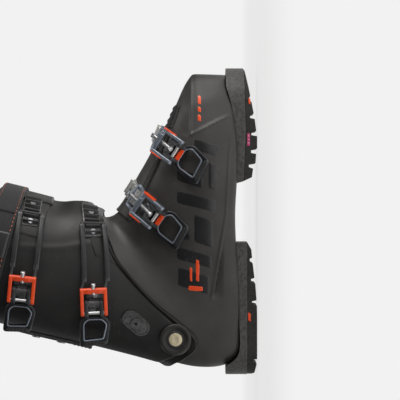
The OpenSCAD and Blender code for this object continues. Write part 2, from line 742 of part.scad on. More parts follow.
module spine_blade() {
    color(graphite)
    difference() {
        across(-9, 9)
            polygon([for (j = [0:8]) back_point(mix(15.05, 16.9, j / 8), 0.5),
                     for (j = [8:-1:0]) back_point(mix(15.05, 16.9, j / 8), 3.6)]);
        spine_holes();
    }
}
module spine_bolts() {
    color(steel)
    for (s = SPINE_BOLTS)
        place(spine_frame(s)) {
            translate([0, 0, -cuff_wall - 0.2])
                cylinder(r = 2.5, h = cuff_wall + 4.2);
            translate([0, 0, 3.7])
                cylinder(r = 4.4, h = 1.5);
        }
}
module cuff_rivets() {
    color(steel) {
        buckle_rivets(LOWER, cuff_wall);
        buckle_rivets(UPPER, cuff_wall);
    }
}
module cuff_buckle_axles() {
    color(steel) {
        axle(LOWER);
        axle(UPPER);
    }
}
leg_edge = [[0, 14.9], [0.25, 14.7], [0.5, 14.45], [1, 14.45]];
function leg_rings(top, out, n) =
    [for (j = [0:n]) [for (g = girth) cuff_point(mix(lookup(abs(g), leg_edge), top, j / n), g, out)]];
module liner_cuff() {
    color(black)
    ring_skin(leg_rings(18.7, -1.2, 8), leg_rings(18.7, -1.2 - liner_wall - 5, 8));
}
module liner_tongue() {
    color(black)
    grid_slab([for (j = [0:8]) [for (k = [0:8])
                  cuff_point(mix(15.2, 19, j / 8), mix(-0.27, 0.27, k / 8), -liner_wall - 7)]],
              [for (j = [0:8]) [for (k = [0:8])
                  cuff_point(mix(15.2, 19, j / 8), mix(-0.27, 0.27, k / 8), -liner_wall - 15)]]);
}
module liner_pull_loop() {
    color(graphite)
    rod([for (k = [0:10])
            let (p = cuff_point(18.7, 1, -7))
                [p[0], -12 + 24 * k / 10, p[2] + 2.4 + 20.6 * sin(18 * k)]], 1.6, 6);
}
module power_strap() {
    color(graphite)
    ring_skin([for (s = [17.2, 17.6, 17.95]) [for (g = girth) cuff_point(s, g, cuff_wall + 5.8)]],
              [for (s = [17.2, 17.6, 17.95]) [for (g = girth) cuff_point(s, g, cuff_wall + 3.8)]]);
}
module strap_keeper() {
    color(graphite)
    patch("cuff", 17.25, 17.9, -0.50, -0.40, 6.2, 8, 2, 3);
}

// ---- One module per buckle piece ----------------------------------------------------------------
module instep_buckle_base() { color(graphite) buckle_base(INSTEP); }
module toe_buckle_base() { color(graphite) buckle_base(TOE); }
module lower_cuff_buckle_base() { color(graphite) buckle_base(LOWER); }
module upper_cuff_buckle_base() { color(graphite) buckle_base(UPPER); }
module instep_catch() { color(steel) ladder(INSTEP, 2, 18, 6, 9); }
module toe_catch() { color(steel) ladder(TOE, 2, 18, 6, 9); }
module lower_cuff_ladder() { color(steel) ladder(LOWER, 3, 22, 14, 8.5); }
module upper_cuff_ladder() { color(steel) ladder(UPPER, 3, 22, 14, 8.5); }
module instep_lever() { color(graphite) lever(INSTEP); }
module toe_lever() { color(graphite) lever(TOE); }
module lower_cuff_lever() { color(graphite) lever(LOWER); }
module upper_cuff_lever() { color(graphite) lever(UPPER); }
module instep_lever_grip() { color(charcoal) lever_grip(INSTEP); }
module toe_lever_grip() { color(charcoal) lever_grip(TOE); }
module lower_cuff_lever_grip() { color(charcoal) lever_grip(LOWER); }
module upper_cuff_lever_grip() { color(charcoal) lever_grip(UPPER); }
module instep_link_pin() { color(steel) link_pin(INSTEP); }
module toe_link_pin() { color(steel) link_pin(TOE); }
module lower_cuff_link_pin() { color(steel) link_pin(LOWER); }
module upper_cuff_link_pin() { color(steel) link_pin(UPPER); }
module instep_yoke() { color(orange) yoke(INSTEP); }
module toe_yoke() { color(orange) yoke(TOE); }
module lower_cuff_yoke() { color(orange) yoke(LOWER); }
module upper_cuff_yoke() { color(orange) yoke(UPPER); }
module instep_bail() { color(steel) bail(INSTEP, 11.8, true); }
module toe_bail() { color(steel) bail(TOE, 11.8, true); }
module lower_cuff_bail() { color(steel) bail(LOWER, 11, false); }
module upper_cuff_bail() { color(steel) bail(UPPER, 11, false); }

lower_shell();
overlap_flap();
toe_gasket();
toe_sole_plate();
toe_sole_rubber();
heel_sole_plate();
heel_sole_rubber();
sole_screws();
sole_badge();
boot_board();
liner_foot();
footbed();
pivot_bolt_lateral();
pivot_bolt_medial();
shell_rivets();
shell_buckle_axles();
instep_buckle_base();
instep_catch();
toe_buckle_base();
toe_catch();
cuff_shell();
cuff_flap();
pivot_bushes();
cant_ring();
cant_plate();
cant_dial();
spine_blade();
spine_bolts();
cuff_rivets();
cuff_buckle_axles();
liner_cuff();
liner_tongue();
liner_pull_loop();
power_strap();
strap_keeper();
lower_cuff_buckle_base();
lower_cuff_ladder();
upper_cuff_buckle_base();
upper_cuff_ladder();
instep_lever();
instep_lever_grip();
instep_link_pin();
instep_yoke();
instep_bail();
toe_lever();
toe_lever_grip();
toe_link_pin();
toe_yoke();
toe_bail();
lower_cuff_lever();
lower_cuff_lever_grip();
lower_cuff_link_pin();
lower_cuff_yoke();
lower_cuff_bail();
upper_cuff_lever();
upper_cuff_lever_grip();
upper_cuff_link_pin();
upper_cuff_yoke();
upper_cuff_bail();
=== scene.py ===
"""Looks of a right alpine ski boot: shell, hinged cuff, four buckles, soles, liner and strap."""

from __future__ import annotations

import json
import logging
import math
from dataclasses import dataclass, field
from enum import Enum
from typing import Iterable, Sequence

import bmesh
import bpy
import numpy as np
from mathutils import Matrix, Vector
from mathutils.bvhtree import BVHTree

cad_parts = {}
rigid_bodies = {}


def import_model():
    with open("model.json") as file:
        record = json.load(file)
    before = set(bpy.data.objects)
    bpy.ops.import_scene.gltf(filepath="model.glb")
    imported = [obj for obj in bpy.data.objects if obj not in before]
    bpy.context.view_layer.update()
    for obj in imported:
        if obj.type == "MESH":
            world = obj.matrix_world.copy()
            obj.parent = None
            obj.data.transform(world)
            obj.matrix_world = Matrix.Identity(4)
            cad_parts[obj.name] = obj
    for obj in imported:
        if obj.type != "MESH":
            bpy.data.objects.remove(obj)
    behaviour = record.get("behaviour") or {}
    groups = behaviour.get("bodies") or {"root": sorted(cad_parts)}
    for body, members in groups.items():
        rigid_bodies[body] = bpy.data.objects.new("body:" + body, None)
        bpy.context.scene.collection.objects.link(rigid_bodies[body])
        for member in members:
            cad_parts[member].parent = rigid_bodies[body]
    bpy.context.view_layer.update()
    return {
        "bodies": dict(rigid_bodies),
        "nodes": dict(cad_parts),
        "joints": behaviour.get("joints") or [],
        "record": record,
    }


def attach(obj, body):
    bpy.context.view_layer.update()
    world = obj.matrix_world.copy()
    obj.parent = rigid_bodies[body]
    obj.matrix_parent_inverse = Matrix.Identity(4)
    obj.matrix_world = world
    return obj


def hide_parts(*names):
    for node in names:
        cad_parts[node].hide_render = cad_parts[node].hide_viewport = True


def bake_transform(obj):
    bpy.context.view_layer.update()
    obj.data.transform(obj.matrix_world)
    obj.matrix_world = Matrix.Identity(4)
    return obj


LOG = logging.getLogger("ski_boot")
MM = 0.001
Loop = list[tuple[float, float]]


class Layer(Enum):
    """The two skins that pieces are laid on."""

    SHELL = "shell"
    CUFF = "cuff"


class Side(Enum):
    """The two sides of the boot."""

    LATERAL = -1
    MEDIAL = 1


# ---- The boot's form --------------------------------------------------------------------------


def smooth(x: np.ndarray | float, low: float, high: float) -> np.ndarray:
    """A soft step.

    Args:
        x: Where to read it.
        low: Where the step starts.
        high: Where it ends; it may be below low for a falling step.

    Returns:
        Values from 0 to 1.
    """
    t = np.clip((np.asarray(x, float) - low) / (high - low), 0, 1)
    return t * t * (3 - 2 * t)


def unit(v: np.ndarray) -> np.ndarray:
    """Scales vectors, held in the last axis, to length 1."""
    return v / np.maximum(np.linalg.norm(v, axis=-1, keepdims=True), 1e-12)


@dataclass
class Frame:
    """A local frame in millimetres: along, across and outward directions at an origin."""

    along: np.ndarray
    across: np.ndarray
    outward: np.ndarray
    origin: np.ndarray

    def at(self, x: float, y: float, z: float) -> np.ndarray:
        """The millimetre point at local x, y, z."""
        return self.origin + self.along * x + self.across * y + self.outward * z

    def raised(self, height: float) -> "Frame":
        """The frame moved outwards by a height."""
        return Frame(self.along, self.across, self.outward, self.at(0, 0, height))

    def tilted(self, degrees: float) -> "Frame":
        """The frame turned about its across direction."""
        c, s = math.cos(math.radians(degrees)), math.sin(math.radians(degrees))
        return Frame(self.along * c - self.outward * s, self.across, self.outward * c + self.along * s,
                     self.origin)


def side_plane(side: Side, reach: float, height: float = 0.0) -> Frame:
    """The upright plane that faces out to one side.

    Args:
        side: Which side it faces.
        reach: How far it is from the middle plane.
        height: The height of its origin.

    Returns:
        A frame along X and Z.
    """
    y = float(side.value)
    return Frame(np.array([1.0, 0, 0]), np.array([0, 0, 1.0]), np.array([0, y, 0]),
                 np.array([0, y * reach, height]))


@dataclass
class BootForm:
    """The body surface that every skin of the boot is an offset of, in millimetres.

    A station is one slanting section from the toe over the heel and up the leg. g runs round its girth
    from 0 at the front line to -1 (lateral) and 1 (medial) at the back line.
    """

    pivot_height: float = 80.4
    cuff_gap: float = 1.2
    gap_growth: float = 0.045
    gap_reach: float = 145.0
    cuff_wall: float = 3.8
    rows: np.ndarray = field(default_factory=lambda: np.array([
        [262.5, 63.5, 261.5, 31.6, 17, 3, 0.50, 5.0, 4.0, 0.80],
        [259.5, 66.5, 259.5, 31.3, 27, 3, 0.50, 4.0, 3.2, 0.80],
        [250.0, 72.5, 250.0, 31.2, 35, 3, 0.52, 3.2, 2.8, 0.80],
        [232.0, 80.5, 230.0, 25.6, 44, 3, 0.58, 2.7, 2.6, 0.79],
        [208.0, 91.0, 198.0, 20.8, 51, 2, 0.66, 2.4, 2.4, 0.76],
        [183.0, 102.5, 163.0, 20.2, 53, 0, 0.70, 2.3, 2.2, 0.72],
        [158.0, 116.5, 124.0, 22.0, 50.5, -1, 0.70, 2.2, 2.2, 0.68],
        [140.0, 127.0, 90.0, 21.0, 47, -1, 0.68, 2.1, 2.2, 0.72],
        [129.0, 134.5, 50.0, 18.5, 44, 0, 0.64, 2.1, 2.2, 0.78],
        [123.0, 141.0, 14.0, 18.0, 41.5, 0, 0.62, 2.1, 2.2, 0.74],
        [120.5, 146.0, -14.0, 18.5, 40, 0, 0.60, 2.1, 2.2, 0.62],
        [120.0, 150.0, -27.0, 34.0, 40, 0, 0.58, 2.1, 2.3, 0.34],
        [121.0, 154.0, -29.0, 60.0, 41, 0, 0.56, 2.1, 2.3, 0.14],
        [124.0, 159.5, -22.5, 90.0, 41.5, 0, 0.54, 2.1, 2.3, 0.05],
        [125.0, 168.0, -11.5, 125.0, 43, 0, 0.53, 2.2, 2.3, 0.03],
        [125.0, 180.0, 0.2, 163.0, 44, 0, 0.52, 2.2, 2.3, 0.03],
        [124.5, 198.0, 12.5, 205.0, 45, 0, 0.51, 2.2, 2.3, 0.03],
        [131.0, 226.0, 24.5, 250.0, 46.5, 0, 0.50, 2.2, 2.3, 0.03],
        [139.0, 258.0, 37.0, 300.0, 48, 0, 0.50, 2.2, 2.3, 0.03],
        [144.5, 280.0, 42.5, 323.0, 48.5, 0, 0.50, 2.2, 2.3, 0.03],
    ], float))

    def station(self, s: np.ndarray) -> np.ndarray:
        """The station values at fractional station numbers, by a smooth curve through the rows."""
        last = len(self.rows) - 1
        i = np.clip(np.floor(s).astype(int), 0, last - 1)
        t = (s - i)[..., None]
        a, b, c, d = (self.rows[np.clip(i + k, 0, last)] for k in (-1, 0, 1, 2))
        return (2 * b + (c - a) * t + (2 * a - 5 * b + 4 * c - d) * t**2 + (3 * b - a - 3 * c + d) * t**3) / 2

    def body(self, s: np.ndarray, g: np.ndarray, out: np.ndarray | float = 0.0,
             back_out: np.ndarray | float | None = None) -> np.ndarray:
        """Points of the body surface moved outwards.

        Args:
            s: Station numbers.
            g: Girth positions from -1 to 1.
            out: How far outwards, in millimetres.
            back_out: The same at the back line, if it differs.

        Returns:
            An array of points.
        """
        s, g = np.broadcast_arrays(np.asarray(s, float), np.asarray(g, float))
        v = self.station(s)
        a = np.minimum(1, np.abs(g))
        out = np.broadcast_to(np.asarray(out, float), s.shape)
        back = out if back_out is None else np.broadcast_to(np.asarray(back_out, float), s.shape)
        f, b = v[..., 0:2], v[..., 2:4]
        along = unit(b - f)
        f = f - along * out[..., None]
        b = b + along * back[..., None]
        angle = np.where(a <= 0.5, a * math.pi, (a - 0.5) * math.pi)
        co, si = np.maximum(np.cos(angle), 0), np.maximum(np.sin(angle), 0)
        front = a <= 0.5
        t = np.where(front, v[..., 6] * (1 - co ** (2 / v[..., 7])),
                     v[..., 6] + (1 - v[..., 6]) * si ** (2 / v[..., 8]))
        share = np.where(front, si ** (2 / v[..., 7]), v[..., 9] + (1 - v[..., 9]) * co ** (2 / v[..., 8]))
        p = f + (b - f) * t[..., None]
        return np.stack([p[..., 0], v[..., 5] + np.sign(g) * share * (v[..., 4] + out), p[..., 1]], -1)

    def cuff(self, s: np.ndarray, g: np.ndarray, out: np.ndarray | float = 0.0) -> np.ndarray:
        """Points out millimetres outside the cuff's inner face."""
        p = self.body(s, g)
        reach = np.hypot(p[..., 0], p[..., 2] - self.pivot_height)
        gap = self.cuff_gap + self.gap_growth * np.minimum(self.gap_reach, reach)
        return self.body(s, g, gap + out)

    def on(self, layer: Layer, s: np.ndarray, g: np.ndarray, out: np.ndarray | float = 0.0) -> np.ndarray:
        """Points out millimetres outside a layer's outer face."""
        return self.cuff(s, g, self.cuff_wall + out) if layer is Layer.CUFF else self.body(s, g, out)

    def normal(self, layer: Layer, s: float, g: float) -> np.ndarray:
        """The outward normal of a layer at one spot."""
        one = lambda ds, dg, o=0.0: self.on(layer, np.array(s + ds), np.array(g + dg), o)  # noqa: E731
        n = unit(np.cross(one(0.02, 0) - one(-0.02, 0), one(0, 0.004) - one(0, -0.004)))
        return -n if float(n @ (one(0, 0, 1.0) - one(0, 0))) < 0 else n


FORM = BootForm()


@dataclass
class Path:
    """A straight run in (s, g) from one spot to another on a layer."""

    layer: Layer
    a: tuple[float, float]
    b: tuple[float, float]

    def spot(self, t: float) -> tuple[float, float]:
        """The (s, g) at share t of the run."""
        return self.a[0] + (self.b[0] - self.a[0]) * t, self.a[1] + (self.b[1] - self.a[1]) * t

    def point(self, t: float, out: float = 0.0) -> np.ndarray:
        """The point at share t, out millimetres off the layer."""
        s, g = self.spot(t)
        return FORM.on(self.layer, np.array(s), np.array(g), out)

    def frame(self, t: float, out: float = 0.0) -> Frame:
        """The local frame at share t."""
        n = FORM.normal(self.layer, *self.spot(t))
        across = unit(np.cross(n, self.point(t + 0.02) - self.point(t - 0.02)))
        return Frame(np.cross(across, n), across, n, self.point(t) + n * out)

    def span(self) -> float:
        """The straight distance between the two ends."""
        return float(np.linalg.norm(self.point(1) - self.point(0)))


# ---- Mesh building ----------------------------------------------------------------------------


class Solid:
    """Vertices and faces that are collected from simple shapes and made into one mesh."""

    def __init__(self) -> None:
        """Starts empty."""
        self.points: list[np.ndarray] = []
        self.faces: list[tuple[int, ...]] = []
        self.maps: list[np.ndarray] = []
        self.count = 0

    def add(self, points: np.ndarray, faces: Iterable[Sequence[int]],
            uv: np.ndarray | None = None) -> "Solid":
        """Adds points in millimetres and the faces between them.

        Args:
            points: An array of points.
            faces: Corner numbers into points.
            uv: Surface coordinates in millimetres, one pair per point.

        Returns:
            This solid.
        """
        flat = np.asarray(points, float).reshape(-1, 3)
        self.faces += [tuple(int(i) + self.count for i in f) for f in faces]
        self.points.append(flat)
        self.maps.append(np.zeros((len(flat), 2)) if uv is None else np.asarray(uv, float).reshape(-1, 2))
        self.count += len(flat)
        return self

    def skin(self, outer: np.ndarray, inner: np.ndarray, closed: bool, cap: bool = False,
             uv: np.ndarray | None = None) -> "Solid":
        """Adds a slab between two grids of points.

        Args:
            outer: The outer face, rows by columns by 3.
            inner: The inner face, of the same shape.
            closed: Whether each row is a closed ring.
            cap: Whether the first ring is closed off.
            uv: Surface coordinates of the outer face.

        Returns:
            This solid.
        """
        n, m = outer.shape[:2]
        k = np.arange(m if closed else m - 1)
        nxt = (k + 1) % m
        faces: list[tuple[int, ...]] = []
        half = n * m
        for j in range(n - 1):
            a, b = j * m, (j + 1) * m
            faces += [(a + p, a + q, b + q, b + p) for p, q in zip(k, nxt)]
            faces += [(half + a + p, half + b + p, half + b + q, half + a + q) for p, q in zip(k, nxt)]
        last = (n - 1) * m
        faces += [(last + p, last + q, half + last + q, half + last + p) for p, q in zip(k, nxt)]
        if cap:
            faces += [tuple(int(x) for x in range(m - 1, -1, -1)), tuple(int(half + x) for x in range(m))]
        else:
            faces += [(p, half + p, half + q, q) for p, q in zip(k, nxt)]
        if not closed:
            for j in range(n - 1):
                a, b = j * m, (j + 1) * m
                c, d = a + m - 1, b + m - 1
                faces += [(a, b, half + b, half + a), (c, half + c, half + d, d)]
        both = None if uv is None else np.concatenate([uv.reshape(-1, 2), uv.reshape(-1, 2)])
        return self.add(np.concatenate([outer.reshape(-1, 3), inner.reshape(-1, 3)]), faces, both)

    def tube(self, points: Sequence[np.ndarray], radius: float | Sequence[float], sides: int = 14,
             flat: float = 1.0) -> "Solid":
        """Adds a round rod that follows points.

        Args:
            points: Its centre line, in millimetres.
            radius: Its radius, or one radius per point.
            sides: How many sides it has.
            flat: Its thickness across the second direction, as a share of its radius.

        Returns:
            This solid.
        """
        p = np.array(points, float)
        r = np.broadcast_to(np.asarray(radius, float), (len(p),))
        d = unit(np.gradient(p, axis=0))
        ref = np.array([0.31, 0.52, 0.79])
        u = unit(np.cross(d[0], ref))
        rings = []
        for i in range(len(p)):
            u = unit(u - d[i] * float(u @ d[i]))
            w = np.cross(d[i], u)
            a = np.linspace(0, 2 * math.pi, sides, endpoint=False)[:, None]
            rings.append(p[i] + r[i] * (np.cos(a) * u + np.sin(a) * w * flat))
        return self.add(np.array(rings), self._rings(len(p), sides))

    @staticmethod
    def _rings(count: int, sides: int) -> list[tuple[int, ...]]:
        """The faces between a count of rings, and the two ends."""
        faces: list[tuple[int, ...]] = []
        for a in range(0, (count - 1) * sides, sides):
            b = a + sides
            faces += [(a + k, a + (k + 1) % sides, b + (k + 1) % sides, b + k) for k in range(sides)]
        return faces + [tuple(range(sides - 1, -1, -1)), tuple((count - 1) * sides + k for k in range(sides))]

    def lathe(self, frame: Frame, profile: Sequence[tuple[float, float]], sides: int = 40) -> "Solid":
        """Adds a turned shape.

        Args:
            frame: Its axis is the frame's outward direction.
            profile: Radius and height pairs from its foot to its top.
            sides: How many sides it has.

        Returns:
            This solid.
        """
        a = np.linspace(0, 2 * math.pi, sides, endpoint=False)
        rings = [[frame.at(r * math.cos(x), r * math.sin(x), z) for x in a] for r, z in profile]
        return self.add(np.array(rings), self._rings(len(profile), sides))

    def plate(self, loops: Sequence[Loop], thickness: float, bevel: float, frame: Frame,
              lift: float = 0.0) -> "Solid":
        """Adds a plate with rounded edges, cut to closed outlines; inner outlines are holes.

        Args:
            loops: Outlines in the frame's along and across directions.
            thickness: Plate thickness.
            bevel: Radius of its edges.
            frame: Where it lies; it rises along outward.
            lift: Height of its middle plane.

        Returns:
            This solid.
        """
        curve = bpy.data.curves.new("outline", "CURVE")
        curve.dimensions, curve.fill_mode = "2D", "BOTH"
        curve.extrude, curve.bevel_depth = thickness / 2 - bevel, bevel
        curve.bevel_resolution, curve.offset = 2, -bevel
        for loop in loops:
            spline = curve.splines.new("POLY")
            spline.points.add(len(loop) - 1)
            spline.use_cyclic_u = True
            for point, (x, y) in zip(spline.points, loop):
                point.co = (x, y, 0, 1)
        holder = bpy.data.objects.new("outline", curve)
        bpy.context.scene.collection.objects.link(holder)
        mesh = bpy.data.meshes.new_from_object(holder.evaluated_get(bpy.context.evaluated_depsgraph_get()))
        co = np.array([v.co for v in mesh.vertices], float).reshape(-1, 3)
        faces = [tuple(p.vertices) for p in mesh.polygons]
        bpy.data.objects.remove(holder)
        bpy.data.meshes.remove(mesh)
        bpy.data.curves.remove(curve)
        rise = co[:, 2:] + lift
        world = frame.origin + co[:, :1] * frame.along + co[:, 1:2] * frame.across + rise * frame.outward
        return self.add(world, faces, co[:, :2])

    def mesh(self, name: str, sharp: float = 38.0) -> bpy.types.Mesh:
        """Makes the mesh.

        Args:
            name: Its name.
            sharp: The angle in degrees above which an edge stays sharp.

        Returns:
            A mesh in metres with smooth faces.
        """
        mesh = bpy.data.meshes.new(name)
        mesh.from_pydata((np.concatenate(self.points) * MM).tolist(), [], self.faces)
        layer = mesh.uv_layers.new(name="surface")
        uv = np.concatenate(self.maps) * MM
        corner = np.zeros(len(mesh.loops), int)
        mesh.loops.foreach_get("vertex_index", corner)
        layer.data.foreach_set("uv", uv[corner].astype(np.float32).ravel())
        clean(mesh, sharp)
        return mesh


def clean(mesh: bpy.types.Mesh, sharp: float, merge: float = 2e-6) -> None:
    """Welds a mesh's doubled points, turns its faces outwards and shades it smooth.

    Args:
        mesh: The mesh.
        sharp: The angle in degrees above which an edge stays sharp.
        merge: The distance within which points are one.
    """
    bm = bmesh.new()
    bm.from_mesh(mesh)
    bmesh.ops.remove_doubles(bm, verts=bm.verts, dist=merge)
    bmesh.ops.recalc_face_normals(bm, faces=bm.faces)
    bm.to_mesh(mesh)
    bm.free()
    mesh.shade_smooth()
    mesh.set_sharp_from_angle(angle=math.radians(sharp))


def rounded(points: Sequence[tuple[float, float]], radius: float, step: float = 2.5) -> Loop:
    """An outline with rounded corners and evenly spread points.

    Args:
        points: Its corners.
        radius: The radius of the corners, cut down where an edge is short.
        step: The spacing of points on straight edges.

    Returns:
        A closed loop of points.
    """
    p = np.array(points, float)
    n = len(p)
    loop: Loop = []
    for i in range(n):
        a, b, c = p[i - 1], p[i], p[(i + 1) % n]
        la, lc = np.linalg.norm(a - b), np.linalg.norm(c - b)
        cut = min(radius, 0.45 * la, 0.45 * lc)
        s, e = b + (a - b) / la * cut, b + (c - b) / lc * cut
        for t in np.linspace(0, 1, 6):
            q = (1 - t) ** 2 * s + 2 * t * (1 - t) * b + t**2 * e
            loop.append((float(q[0]), float(q[1])))
        d = p[(i + 2) % n]
        nxt = c + (b - c) / lc * min(radius, 0.45 * lc, 0.45 * np.linalg.norm(d - c))
        length = float(np.linalg.norm(nxt - e))
        for t in np.arange(1, int(length / step) + 1) / (int(length / step) + 1):
            q = e + (nxt - e) * t
            loop.append((float(q[0]), float(q[1])))
    return loop


def lozenge(a: tuple[float, float], ra: float, b: tuple[float, float], rb: float, steps: int = 16) -> Loop:
    """The outline round two circles.

    Args:
        a: Centre of the first.
        ra: Its radius.
        b: Centre of the second.
        rb: Its radius.
        steps: Points on each end.

    Returns:
        A closed loop.
    """
    pa, pb = np.array(a, float), np.array(b, float)
    way = math.atan2(pb[1] - pa[1], pb[0] - pa[0])
    lean = math.acos((ra - rb) / float(np.linalg.norm(pb - pa)))
    loop = [tuple(pb + rb * np.array([math.cos(x), math.sin(x)]))
            for x in np.linspace(way - lean, way + lean, steps)]
    loop += [tuple(pa + ra * np.array([math.cos(x), math.sin(x)]))
             for x in np.linspace(way + lean, way - lean + 2 * math.pi, steps)]
    return [(float(x), float(y)) for x, y in loop]


def circle(x: float, y: float, r: float, steps: int = 28) -> Loop:
    """A round outline."""
    turn = np.linspace(0, 2 * math.pi, steps, endpoint=False)
    return [(x + r * math.cos(a), y + r * math.sin(a)) for a in turn]


def upright(frame: Frame, y: float) -> Frame:
    """A frame whose plate plane is the given frame's along and outward plane, at across distance y."""
    return Frame(frame.along, frame.outward, -frame.across, frame.at(0, y, 0))


# ---- Finishes ---------------------------------------------------------------------------------


class Surface(Enum):
    """The kinds of surface, which differ in what their grain is made of."""

    MOULDED = "moulded"
    BRUSHED = "brushed"
    WOVEN = "woven"
    PRINTED = "printed"


def linear(rgb: tuple[int, int, int]) -> tuple[float, float, float, float]:
    """An 8-bit display colour as a linear colour with alpha."""
    return tuple(c / 255 / 12.92 if c <= 10 else ((c / 255 + 0.055) / 1.055) ** 2.4 for c in rgb) + (1.0,)


class Tree:
    """Adds nodes to one node tree and links them."""

    def __init__(self, tree: bpy.types.NodeTree) -> None:
        """Wraps a tree and empties it."""
        self.tree = tree
        tree.nodes.clear()

    def add(self, kind: str, settings: dict[str, object] | None = None, **inputs: object) -> bpy.types.Node:
        """Adds a node.

        Args:
            kind: Its Blender type without the ShaderNode prefix.
            settings: Its properties.
            inputs: Values or sockets for its inputs, by name with _ for a space, or i0, i1 by number.

        Returns:
            The node.
        """
        node = self.tree.nodes.new(kind if kind.startswith("Node") else "ShaderNode" + kind)
        for key, value in (settings or {}).items():
            setattr(node, key, value)
        for key, value in inputs.items():
            number = key[1:] if key[0] == "i" and key[1:].isdigit() else None
            socket = node.inputs[int(number)] if number else node.inputs[key.replace("_", " ")]
            if isinstance(value, bpy.types.NodeSocket):
                self.tree.links.new(value, socket)
            else:
                socket.default_value = value
        return node

    def math(self, operation: str, *values: object) -> bpy.types.NodeSocket:
        """The result of one sum on values or sockets."""
        inputs = {f"i{i}": v for i, v in enumerate(values)}
        return self.add("Math", {"operation": operation}, **inputs).outputs[0]

    def band(self, value: object, low: float, high: float, to: float = 1.0) -> bpy.types.NodeSocket:
        """A value brought from low..high to 0..to, without going outside it."""
        node = self.add("MapRange", {"interpolation_type": "SMOOTHSTEP"}, Value=value)
        for socket, number in zip(node.inputs[1:5], (low, high, 0.0, to)):
            socket.default_value = number
        return node.outputs[0]

    def mix(self, share: object, a: object, b: object) -> bpy.types.NodeSocket:
        """Colour a turning to b by a share."""
        node = self.add("Mix", {"data_type": "RGBA"}, i0=share)
        for socket, value in ((node.inputs[6], a), (node.inputs[7], b)):
            if isinstance(value, bpy.types.NodeSocket):
                self.tree.links.new(value, socket)
            else:
                socket.default_value = value
        return node.outputs[2]

    def noise(self, scale: object, detail: float = 3.0, stretch: object = None,
              coordinates: str = "Object") -> bpy.types.NodeSocket:
        """Noise in object space, from about 0 to 1."""
        place = self.add("TexCoord").outputs[coordinates]
        if stretch is not None:
            place = self.add("VectorMath", {"operation": "MULTIPLY"}, i0=place, i1=stretch).outputs[0]
        return self.add("TexNoise", None, Vector=place, Scale=scale, Detail=detail).outputs[0]


